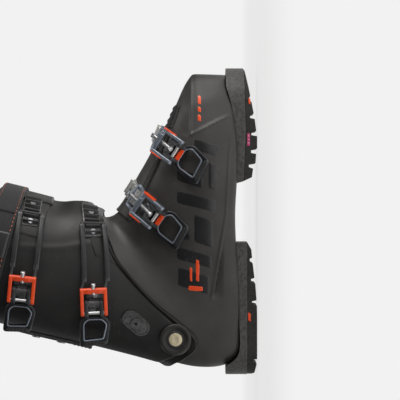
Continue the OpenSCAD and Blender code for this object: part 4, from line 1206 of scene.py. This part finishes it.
@dataclass
class Buckle:
    """One micro-adjustable buckle: lever, grip, forked yoke, wire bail and toothed ladder."""

    name: str
    body: str
    path: Path
    tilt: float
    foot: float
    teeth: int
    ahead: float
    behind: float
    half: float
    wide: float
    centre: bool
    ladder_node: str
    length: float = 44.0
    width: float = 31.0
    thick: float = 4.2
    link: tuple[float, float] = (-7.794, 4.5)
    ear: tuple[float, float] = (5.4, 9.4)
    arm: tuple[float, float] = (9.8, 13.2)
    rod: float = 1.7
    axle_height: float = 8.0
    tooth_pitch: float = 7.0
    tooth_height: float = 3.0
    ladder_thick: float = 2.0

    def axle(self) -> Frame:
        """The lever's frame, whose along direction points at the crossbar."""
        f = self.path.frame(0, self.axle_height)
        side = unit(np.cross(f.outward, self.path.point(1) - self.path.point(0)))
        return Frame(np.cross(side, f.outward), side, f.outward, f.origin).tilted(self.tilt)

    def opening(self) -> Loop:
        """The outline of the opening in the lever's middle."""
        length, w = self.length, self.width / 2
        return rounded([(9.2 - length, 8.2 - w), (-20.5, 4.4 - w), (-15.6, -6.6), (-15.6, 6.6),
                        (-19.5, w - 5.2), (7.6 - length, w - 4.8)], 2.4)

    def lever(self) -> Solid:
        """The open lever with its two ears."""
        length, w = self.length, self.width / 2
        f = self.axle()
        outline = rounded([(2.5 - length, 4.0 - w), (-20, -w), (-12.6, 4.5 - w), (-12.6, w - 4.5),
                           (-18, w - 1), (-length, w)], 4.2)
        middle = self.thick / 2 - 1.2
        solid = Solid().plate([outline, self.opening()], self.thick, 0.9, f, middle)
        for sign in (1, -1):
            ear = lozenge((0, 0), 4.2, self.link, 3.3)
            web = [(0, -4.2), (1.5, 3.9), (self.link[0], self.link[1] + 3.2), (-16, 2.8), (-16, -1.0)]
            y = sign * (self.ear[0] + self.ear[1]) / 2
            thick = self.ear[1] - self.ear[0]
            solid.plate([ear], thick, 0.6, upright(f, y))
            solid.plate([rounded(web, 0.8)], thick - 0.2, 0.5, upright(f, y))
        return solid

    def rim_ring(self) -> Solid:
        """The bright chamfered rim round the lever's opening."""
        length, w = self.length, self.width / 2
        ring = rounded([(7.9 - length, 7.1 - w), (-20.4, 3.1 - w), (-14.5, -7.4), (-14.5, 7.4),
                        (-19.3, w - 3.9), (6.3 - length, w - 3.5)], 2.8)
        return Solid().plate([ring, self.opening()], 1.5, 0.3, self.axle(), 3.2)

    def grip(self) -> Solid:
        """The ribbed pad on the lever's tail."""
        f, w = self.axle(), self.width / 2
        x = 5.7 - self.length
        height = self.thick - 1.2
        solid = Solid().plate([rounded([(x - 3.0, 5.4 - w), (x + 1.0, 5.6 - w), (x, w - 4.4),
                                        (x - 4.0, w - 2.6)], 1.8)],
                              1.3, 0.4, f, height + 0.5)
        for k in range(6):
            y = (k - 2.5) * 3.2 + 0.5
            rib = rounded([(x - 2.9, y - 0.5), (x + 0.1, y - 0.5), (x + 0.1, y + 0.5), (x - 2.9, y + 0.5)],
                          0.45)
            solid.plate([rib], 0.7, 0.2, f, height + 1.3)
        return solid

    def cheeks(self) -> Solid:
        """The orange strips beside the yoke's arms."""
        f = self.axle()
        solid = Solid()
        for sign in (1, -1):
            strip = rounded([(1.0, 0.2), (13.5, -1.0), (16.2, 0.4), (15.6, 3.6), (12.5, 4.6), (1.4, 6.0)],
                            1.2)
            solid.plate([strip], 1.5, 0.35, upright(f, sign * (self.arm[1] + 0.2)))
        return solid

    def root(self) -> Solid:
        """The orange block at the lever's root."""
        block = rounded([(-15.4, -5.6), (-10.6, -6.6), (-10.6, 6.6), (-15.4, 5.6)], 1.2)
        return Solid().plate([block], 2.6, 0.5, self.axle(), 2.9)

    def yoke(self) -> Solid:
        """The forked link between the lever and the wire."""
        f = self.axle()
        solid = Solid()
        y = (self.arm[0] + self.arm[1]) / 2
        for sign in (1, -1):
            solid.plate([lozenge(self.link, 3.2, (14, 1.2), 2.8)], self.arm[1] - self.arm[0], 0.7,
                        upright(f, sign * y))
        block = rounded([(11.4, -1.4), (15.2, -1.5), (16.7, 0.2), (16.7, 2.4), (15.2, 3.9), (11.4, 3.9)], 0.9)
        solid.plate([block], 2 * self.arm[0] + 1, 0.5, upright(f, 0))
        solid.plate([rounded([(11.6, -7.6), (16.2, -6.4), (16.2, 6.4), (11.6, 7.6)], 1.2)], 1.0, 0.4, f, 4.0)
        return solid

    def bail(self) -> Solid:
        """The wire loop, with a hook block on the foot buckles and flat straps on the cuff's."""
        path, f = self.path, self.axle()
        bar_out = self.foot + self.ladder_thick + self.rod + 0.15
        e = path.frame(1, bar_out)
        first = 24 / path.span()
        shares = [first, (2 * first + 0.9) / 3, (first + 1.8) / 3, 0.9] if first < 0.8 else [0.78]

        def leg(t: float, side: int) -> np.ndarray:
            """One point of a wire leg."""
            rise = self.axle_height + 0.5
            out = rise + (bar_out - rise) * min(1, t / 0.9)
            y = self.arm[0] + 1.7 + (self.wide - self.arm[0] - 1.7) * t
            return path.frame(t, out).at(0, side * y, 0)

        def side_path(side: int) -> list[np.ndarray]:
            """One leg from the yoke to the crossbar."""
            w = self.wide
            return [f.at(14.5, side * (self.arm[0] + 1.7), 1.2), *(leg(t, side) for t in shares),
                    e.at(-2.0, side * w, 0), e.at(-0.9, side * (w - 0.25), 0),
                    e.at(-0.25, side * (w - 0.9), 0), e.at(0, side * (w - 2.0), 0)]

        points = side_path(-1) + [e.at(0, 0, 0)] + side_path(1)[::-1]
        solid = Solid().tube(ease(points, 7), self.rod, 16)
        if self.centre:
            block = rounded([(-1.4, 0.8), (1.8, 0.8), (1.8, 6.2), (0.9, 7.0), (-1.4, 7.0)], 0.7)
            return solid.plate([block], 4.4, 0.4, upright(e, 0))
        rows, half = 31, 2.5
        ys = np.linspace(-half, half, 9)
        for side in (-1, 1):
            outer, inner = np.zeros((rows, len(ys), 3)), np.zeros((rows, len(ys), 3))
            for j, share in enumerate(np.linspace(first * 0.82, 0.965, rows)):
                c = leg(float(share), side)
                g = path.frame(float(share), 0)
                for k, y in enumerate(ys):
                    fall = 0.8 * float(rim(np.array(half - abs(y)), 1.2))
                    outer[j, k] = c + g.across * y + g.outward * (2.0 - fall)
                    inner[j, k] = c + g.across * y - g.outward * (1.5 - 0.5 * fall)
            solid.skin(outer, inner, False)
        return solid

    def barrel(self) -> Solid:
        """The threaded rod that sets the wire's reach, with its slotted end."""
        f = self.axle()
        foot = self.foot + self.ladder_thick + self.rod + 0.15
        end = self.path.frame(1, foot).at(1.0, 0, 4.6) if self.centre else f.at(21.5, 0, 2.2)
        start = f.at(-3.6, 0, 6.8) if self.centre else f.at(10.5, 0, 2.6)
        way = end - start
        reach = float(np.linalg.norm(way))
        n = unit(way)
        side = unit(np.cross(f.outward, n))
        turned = Frame(np.cross(side, n), side, n, start)
        profile = [(1.0, 0.0), (2.2, 0.2), (2.2, 2.2), (1.5, 2.5)]
        turns = int((reach - 5.0) / 0.9)
        for k in range(turns):
            z = 2.6 + 0.9 * k
            profile += [(1.45, z), (1.8, z + 0.45)]
        profile += [(1.5, reach - 2.4), (2.3, reach - 2.2), (2.3, reach - 0.3), (1.9, reach)]
        return Solid().lathe(turned, profile, 24)

    def ladder(self) -> Solid:
        """The toothed plate that the wire hooks on."""
        n, half, path = self.path.span(), self.half, self.path
        ahead = self.ahead + (14 if self.teeth > 2 else 3)
        t = np.linspace(1 - self.behind / n, 1 + ahead / n, 41)
        columns = np.linspace(-half, half, 19)
        outer, inner = np.zeros((41, 19, 3)), np.zeros((41, 19, 3))
        for j, share in enumerate(t):
            f = path.frame(float(share), self.foot)
            end = min(j, 40 - j) / 40 * (ahead + self.behind)
            squeeze = 1 - 0.16 * float(rim(np.array(end), 3.0))
            for k, y in enumerate(columns):
                edge = min(end, (half - abs(y)))
                outer[j, k] = f.at(0, y * squeeze, self.ladder_thick - 0.5 * float(rim(np.array(edge), 0.8)))
                inner[j, k] = f.at(0, y * squeeze, 0)
        solid = Solid().skin(outer, inner, False)
        tooth = rounded([(-3, 0), (-0.7, self.tooth_height + 0.4), (0, self.tooth_height + 0.4), (0, 0)],
                        0.35, 1.2)
        for k in range(-1 if self.teeth > 2 else 0, self.teeth + 2):
            at = 1 + (k * self.tooth_pitch - self.rod - 0.2) / n
            f = path.frame(at, self.foot + self.ladder_thick - 0.4)
            solid.plate([tooth], 2 * half - 2, 0.3, upright(f, 0))
        return solid

    def build(self, shop: Workshop) -> None:
        """Makes and dresses the buckle's pieces."""
        n = self.name
        shop.piece(f"{n}_lever_frame", self.lever(), LEVER_FINISH, f"{n}_lever", [f"{n}_lever"])
        shop.piece(f"{n}_lever_rim", self.rim_ring(), CHEEK_FINISH, f"{n}_lever")
        shop.piece(f"{n}_grip_pad", self.grip(), GRIP_FINISH, f"{n}_lever", [f"{n}_lever_grip"])
        foot = self.centre
        fork = shop.piece(f"{n}_fork", self.yoke(), CHEEK_FINISH if foot else ORANGE_FINISH, f"{n}_bail",
                          [f"{n}_yoke"])
        shop.piece(f"{n}_wire_bail", self.bail(), CHEEK_FINISH if foot else ARM_FINISH, f"{n}_bail",
                   [f"{n}_bail"], sharp=50)
        shop.piece(f"{n}_screw_barrel", self.barrel(), BAIL_FINISH, f"{n}_bail", sharp=30)
        if foot:
            shop.piece(f"{n}_orange_trim", self.cheeks(), ORANGE_FINISH, f"{n}_bail")
            shop.piece(f"{n}_orange_root", self.root(), ORANGE_FINISH, f"{n}_lever")
        shop.piece(f"{n}_toothed_plate", self.ladder(), LADDER_FINISH if foot else RACK_FINISH, self.body,
                   [self.ladder_node])
        shop.keep(BAIL_FINISH, 0.25, f"{n}_link_pin")
        shop.keep(BASE_FINISH, 0.4, f"{n}_buckle_base")


def ease(points: Sequence[np.ndarray], steps: int) -> list[np.ndarray]:
    """Points on a smooth curve through the given ones.

    Args:
        points: What it passes through.
        steps: How many points stand for each stretch.

    Returns:
        The closer points.
    """
    p = [np.asarray(q, float) for q in points]
    p = [2 * p[0] - p[1], *p, 2 * p[-1] - p[-2]]
    made = []
    for i in range(1, len(p) - 2):
        a, b, c, d = p[i - 1:i + 3]
        ta = np.linalg.norm(b - a) ** 0.5 + 1e-9
        tb = np.linalg.norm(c - b) ** 0.5 + 1e-9
        tc = np.linalg.norm(d - c) ** 0.5 + 1e-9
        m1 = (c - b) + tb * ((b - a) / ta - (c - a) / (ta + tb))
        m2 = (c - b) + tb * ((d - c) / tc - (d - b) / (tb + tc))
        for t in np.linspace(0, 1, steps, endpoint=False):
            h = (2 * t**3 - 3 * t**2 + 1, t**3 - 2 * t**2 + t, -2 * t**3 + 3 * t**2, t**3 - t**2)
            made.append(h[0] * b + h[1] * m1 + h[2] * c + h[3] * m2)
    return made + [p[-2]]


BUCKLES = (
    Buckle("instep", "shell", Path(Layer.SHELL, (7.12, -0.285), (6.76, -0.155)),
           tilt=-14, foot=3.7, teeth=2, ahead=18, behind=6, half=9, wide=11.8, centre=True,
           ladder_node="instep_catch"),
    Buckle("toe", "shell", Path(Layer.SHELL, (4.72, -0.285), (4.45, -0.135)),
           tilt=-18.5, foot=3.7, teeth=2, ahead=18, behind=6, half=9, wide=11.8, centre=True,
           ladder_node="toe_catch"),
    Buckle("lower_cuff", "cuff", Path(Layer.CUFF, (14.74, -0.580), (13.93, -0.254)),
           tilt=-7, foot=0.35, teeth=3, ahead=22, behind=14, half=8.5, wide=11, centre=False,
           ladder_node="lower_cuff_ladder"),
    Buckle("upper_cuff", "cuff", Path(Layer.CUFF, (16.68, -0.604), (16.83, -0.262)),
           tilt=-7, foot=0.35, teeth=3, ahead=22, behind=14, half=8.5, wide=11, centre=False,
           ladder_node="upper_cuff_ladder"),
)


@dataclass
class Pivots:
    """The two pivot bolts with their hexagon sockets and index ticks."""

    radius: float = 6.4
    inner: float = 32.0
    length: float = 17.9
    hexagon: float = 2.9

    def bolt(self, side: Side) -> Solid:
        """One bolt with a stepped, dished head."""
        f = side_plane(side, self.inner, FORM.pivot_height)
        r, top = self.radius, self.length
        solid = Solid().lathe(f, [(9, 0), (9, 2.0), (8.6, 2.4), (5, 2.4), (5, top - 2.0), (3.6, top - 2.0)],
                              48)
        head = f.raised(top - 0.8)
        solid.plate([circle(0, 0, r, 64), [(x, z) for x, z in circle(0, 0, self.hexagon, 6)]], 1.6, 0.35,
                    head)
        solid.lathe(f.raised(top - 1.7), [(r - 0.1, 0), (r - 0.1, 0.3)], 48)
        for k in range(24):
            a = 2 * math.pi * k / 24
            reach = 1.5 if k % 6 == 0 else 0.9
            d = f.along * math.cos(a) + f.across * math.sin(a)
            p = f.at(0, 0, top - 0.02)
            solid.tube([p + d * (5.75 - reach), p + d * 5.75], 0.16, 6)
        return solid

    def build(self, shop: Workshop) -> None:
        """Makes and dresses the pivots."""
        for side in Side:
            word = side.name.lower()
            shop.piece(f"pivot_{word}", self.bolt(side), BRASS_FINISH, "shell", [f"pivot_bolt_{word}"],
                       sharp=30)
        shop.keep(TRIM_FINISH, 0.0, "pivot_bushes")


@dataclass
class Soles:
    """The sole blocks with their coloured inlays."""

    side_face: float = 33.9

    def inlay(self, x: tuple[float, float], z: tuple[float, float], side: Side, lean: float) -> Solid:
        """A small slanted inlay on a sole's side.

        Args:
            x: Its range of X.
            z: Its range of Z.
            side: Which side it is on.
            lean: How far its head leans along X.

        Returns:
            The inlay.
        """
        f = side_plane(side, self.side_face - 0.1)
        loop = rounded([(x[0], z[0]), (x[1], z[0]), (x[1] + lean, z[1]), (x[0] + lean, z[1])], 0.7)
        return Solid().plate([loop], 0.8, 0.25, f, 0.1)

    def build(self, shop: Workshop) -> None:
        """Dresses the sole blocks and makes their inlays."""
        shop.keep(SOLE_FINISH, 0.8, "toe_sole_plate", "heel_sole_plate")
        shop.keep(RUBBER_FINISH, 0.6, "toe_sole_rubber", "heel_sole_rubber")
        shop.keep(STEEL_FINISH, 0.25, "sole_screws")
        lateral = Side.LATERAL
        badge = self.inlay((190.4, 202.6), (7.2, 9.8), lateral, 0)
        shop.piece("sole_inlay_badge", badge, BADGE_FINISH, "shell", ["sole_badge"])
        stripes = Solid()
        y = -(self.side_face + 0.72)
        for k in range(3):
            x = 193 + 3.4 * k
            stripes.tube([np.array([x, y, 7.7]), np.array([x + 0.5, y, 9.3])], 0.28, 8)
        shop.piece("sole_inlay_stripes", stripes, LADDER_FINISH, "shell")
        for k, (x, z, side, lean) in enumerate((((231, 236.5), (6.6, 8.6), lateral, 1.5),
                                                ((17, 25), (6.4, 9.0), lateral, 1.2),
                                                ((231, 236.5), (6.6, 8.6), Side.MEDIAL, 1.5),
                                                ((17, 25), (6.4, 9.0), Side.MEDIAL, 1.2))):
            shop.piece(f"tread_inlay_{k + 1}", self.inlay(x, z, side, lean), ORANGE_FINISH, "shell")


@dataclass
class Liner:
    """The padded inner boot with its tongue, pull loop and footbed."""

    wall: float = 7.0
    shell_gap: float = 6.4
    leg_wall: float = 12.0
    top: float = 18.7

    def skin(self) -> Solid:
        """One padded skin from the toe to the collar."""
        rows, columns = 200, 180
        t, g = np.meshgrid(np.linspace(0, 1, rows + 1), np.linspace(-1, 1, columns + 1), indexing="ij")
        s = 1.7 + (self.top - 1.7) * t
        lift = np.clip(10 * (12.2 - s) / 1.9, 0, 10)
        leg = smooth(s, 14.05, 14.9)
        rise = (self.top - s) * 40
        lip = 4.6 * rim(rise, 9.0)
        seam = 0.9 * (hump((s - 17.9) * 40, 1.2) + hump((s - 16.4) * 40, 1.2) + hump((s - 10.5) * 30, 1.2))
        quilt = 0.5 * np.sin(g * math.pi * 9) ** 2 * smooth(s, 17.95, 18.2)
        foot_out = self.flat(s, g, -self.shell_gap - seam, lift)
        foot_in = self.flat(np.maximum(s, 2.4), g, -self.shell_gap - self.wall, lift)
        leg_out = FORM.cuff(s, g, -1.2 - lip - seam - quilt)
        leg_in = FORM.cuff(s, g, -1.2 - self.leg_wall + lip)
        outer = foot_out + (leg_out - foot_out) * leg[..., None]
        inner = foot_in + (leg_in - foot_in) * leg[..., None]
        uv = np.stack([s * 30, g * 160], -1)
        return Solid().skin(outer, inner, True, cap=True, uv=uv)

    @staticmethod
    def flat(s: np.ndarray, g: np.ndarray, out: np.ndarray | float, lift: np.ndarray) -> np.ndarray:
        """Body points whose underside is flattened, lift millimetres up the section."""
        p = FORM.body(s, g, out)
        v = FORM.station(s)
        out = np.broadcast_to(np.asarray(out, float), s.shape)
        way = unit(v[..., 2:4] - v[..., 0:2])
        back = v[..., 2:4] + way * out[..., None]
        past = ((p[..., [0, 2]] - back) * way).sum(-1) + lift
        moved = p[..., [0, 2]] - way * np.maximum(0, past)[..., None]
        return np.stack([moved[..., 0], p[..., 1], moved[..., 1]], -1)

    def tongue(self) -> Solid:
        """The crowned tongue pad."""
        u, v = np.meshgrid(np.linspace(0, 1, 91), np.linspace(0, 1, 61), indexing="ij")
        s, g = 15.2 + 3.8 * u, -0.27 + 0.54 * v
        s = s - 0.42 * np.abs(2 * v - 1) ** 3 * smooth(u, 0.6, 1.0)
        edge = np.minimum(np.minimum(u, 1 - u) * 140, np.minimum(v, 1 - v) * 48)
        close = 3.9 * rim(edge, 9.0)
        channel = 0.8 * (hump((v - 0.3) * 48, 1.1) + hump((v - 0.7) * 48, 1.1))
        outer = FORM.cuff(s, g, -self.wall - 7 - close - channel)
        inner = FORM.cuff(s, g, -self.wall - 15 + close)
        return Solid().skin(outer, inner, False, uv=np.stack([u * 140, v * 48], -1))

    def loop(self) -> Solid:
        """The webbing pull loop at the back."""
        p = FORM.cuff(np.array(self.top), np.array(1.0), -7)
        angles = np.linspace(0, math.pi, 25)
        line = [np.array([p[0], -12 * math.cos(a), p[2] + 2.0 + 20.4 * math.sin(a)]) for a in angles]
        return Solid().tube(line, 2.6, 16, 0.45)

    def build(self, shop: Workshop) -> None:
        """Makes and dresses the liner's pieces."""
        liner = shop.piece("inner_boot", self.skin(), LINER_FINISH, None, ["liner_foot", "liner_cuff"],
                           sharp=60)
        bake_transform(liner)
        tongue = shop.piece("inner_boot_tongue", self.tongue(), LINER_FINISH, "cuff", ["liner_tongue"],
                            sharp=60)
        shop.piece("pull_loop", self.loop(), WEBBING_FINISH, "cuff", ["liner_pull_loop"])
        shop.keep(FOOTBED_FINISH, 0.6, "footbed")
        shop.keep(BOARD_FINISH, 0.8, "boot_board")


@dataclass
class PowerStrap:
    """The strap round the top of the cuff with its stitching and tab."""

    wall: float = 3.8
    span: tuple[float, float] = (17.2, 17.95)

    def band(self) -> Solid:
        """The strap."""
        u, g = np.meshgrid(np.linspace(0, 1, 31), np.linspace(-1, 1, 361), indexing="ij")
        s = self.span[0] + (self.span[1] - self.span[0]) * u
        edge = np.minimum(u, 1 - u) * 32
        wave = 0.25 * np.sin(g * 37) * np.sin(math.pi * u)
        outer = FORM.cuff(s, g, self.wall + 5.8 + wave - 0.6 * rim(edge, 1.4))
        inner = FORM.cuff(s, g, self.wall + 3.8 + wave)
        return Solid().skin(outer, inner, True, uv=np.stack([u * 32, g * 170], -1))

    def stitches(self) -> Solid:
        """Rows of thread along both rims."""
        solid = Solid()
        for u in (0.09, 0.91):
            s = self.span[0] + (self.span[1] - self.span[0]) * u
            for k in range(96):
                g = np.array([-0.98, -0.9715]) + k * 0.0204
                wave = 0.25 * np.sin(g * 37) * math.sin(math.pi * u)
                line = FORM.cuff(np.full(2, s), g, self.wall + 5.78 + wave)
                solid.tube(list(line), 0.34, 6)
        return solid

    def build(self, shop: Workshop) -> None:
        """Makes and dresses the strap's pieces."""
        shop.piece("power_strap_band", self.band(), WEBBING_FINISH, "cuff", ["power_strap"], sharp=50)
        shop.piece("power_strap_stitches", self.stitches(), THREAD_FINISH, "cuff")
        tab = slab(Layer.CUFF, (self.span[0] + 0.08, self.span[1] - 0.08), (-0.30, -0.08), 5.9, 7.7,
                   (30, 60), 0.7)
        shop.piece("power_strap_tab", tab, WEBBING_FINISH, "cuff")


@dataclass
class Fittings:
    """The small metal parts that keep their CAD shape."""

    def build(self, shop: Workshop) -> None:
        """Dresses them."""
        shop.keep(STEEL_FINISH, 0.2, "shell_rivets", "cuff_rivets", "spine_bolts")
        shop.keep(BAIL_FINISH, 0.3, "shell_buckle_axles", "cuff_buckle_axles")
        shop.keep(TRIM_FINISH, 0.4, "cant_ring", "spine_blade")
        shop.keep(BASE_FINISH, 0.3, "cant_plate", "cant_dial")


# ---- Studio -----------------------------------------------------------------------------------


@dataclass
class Studio:
    """A plain pale floor and backdrop, soft lights and the camera."""

    aim: tuple[float, float, float] = (0.137, -2.5, 0.0564)
    lens: float = 225.0
    floor_size: float = 4.0
    paper: tuple[int, int, int] = (242, 242, 242)
    ambient: float = 0.1
    glow: float = 0.75

    def build(self) -> None:
        """Makes the studio."""
        self._floor()
        for name, place, power, size, tint in (
                ("key", (1.25, -0.55, 0.3), 11.0, 0.7, (1.0, 0.98, 0.95)),
                ("over", (0.45, 0.1, 1.4), 3.5, 0.8, (1.0, 1.0, 1.0)),
                ("back", (-0.3, 0.9, 1.0), 5.0, 1.0, (1.0, 1.0, 1.0))):
            self._lamp(name, Vector(place), power, size, tint)
        self._world()
        bpy.context.scene.view_settings.view_transform = "Standard"
        self._camera()

    def _lamp(self, name: str, place: Vector, power: float, size: float,
              tint: tuple[float, float, float]) -> None:
        """One soft area light that looks at the boot."""
        data = bpy.data.lights.new(name, "AREA")
        data.energy, data.size, data.color = power, size, tint
        lamp = bpy.data.objects.new(name, data)
        bpy.context.scene.collection.objects.link(lamp)
        lamp.location = place
        lamp.rotation_euler = (Vector((0.12, 0, 0.12)) - place).to_track_quat("-Z", "Y").to_euler()

    def _world(self) -> None:
        """Faint even light, which the camera sees as a pale backdrop."""
        world = bpy.data.worlds.new("studio")
        world.use_nodes = True
        t = Tree(world.node_tree)
        seen = t.add("LightPath").outputs["Is Camera Ray"]
        shade = self.ambient
        background = t.add("Background", None, Color=t.mix(seen, (shade, shade, shade, 1),
                                                           linear(self.paper)))
        t.add("OutputWorld", None, Surface=background.outputs[0])
        bpy.context.scene.world = world

    def _floor(self) -> None:
        """A round floor that lights the boot from below and turns into the backdrop further out."""
        mesh = bpy.data.meshes.new("floor")
        corners = [(-1, -1), (1, -1), (1, 1), (-1, 1)]
        mesh.from_pydata([(self.floor_size * x, self.floor_size * y, -0.0002) for x, y in corners], [],
                         [(0, 1, 2, 3)])
        floor = bpy.data.objects.new("floor", mesh)
        bpy.context.scene.collection.objects.link(floor)
        material = bpy.data.materials.new("studio_paper")
        material.use_nodes = True
        t = Tree(material.node_tree)
        tone = t.mix(t.noise(30.0), linear((238, 238, 238)), linear(self.paper))
        seen = t.add("LightPath").outputs["Is Camera Ray"]
        glow = t.math("MULTIPLY", t.math("SUBTRACT", 1.0, seen), self.glow)
        lit = t.add("BsdfPrincipled", None, Base_Color=tone, Roughness=0.9, Emission_Color=(1, 1, 1, 1),
                    Emission_Strength=glow)
        plain = t.add("Emission", None, Color=linear(self.paper), Strength=1.0)
        away = t.add("VectorMath", {"operation": "LENGTH"},
                     i0=t.add("TexCoord").outputs["Object"]).outputs["Value"]
        share = t.math("ADD", 0.8, t.band(away, 0.35, 1.1, 0.2))
        both = t.add("MixShader", None, Fac=t.math("MULTIPLY", seen, share))
        t.tree.links.new(lit.outputs[0], both.inputs[1])
        t.tree.links.new(plain.outputs[0], both.inputs[2])
        t.add("OutputMaterial", None, Surface=both.outputs[0])
        floor.data.materials.append(material)

    def _camera(self) -> None:
        """The camera, square to the lateral side with the toe upwards."""
        data = bpy.data.cameras.new("camera")
        data.lens, data.sensor_width = self.lens, 36.0
        data.clip_end = 20
        camera = bpy.data.objects.new("camera", data)
        bpy.context.scene.collection.objects.link(camera)
        camera.matrix_world = Matrix(((0, 1, 0, self.aim[0]), (0, 0, -1, self.aim[1]),
                                      (-1, 0, 0, self.aim[2]), (0, 0, 0, 1)))
        bpy.context.scene.camera = camera


def main() -> None:
    """Builds the boot and its studio."""
    logging.basicConfig(level=logging.INFO, format="%(message)s")
    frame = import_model()
    shop = Workshop(frame["nodes"])
    Studio().build()
    for part in (LowerShell(), Cuff(), *BUCKLES, Pivots(), Soles(), Liner(), PowerStrap(), Fittings()):
        LOG.info("building %s", type(part).__name__)
        part.build(shop)
    LOG.info("%d pieces made", len(shop.made))


if __name__ == "__main__":
    main()
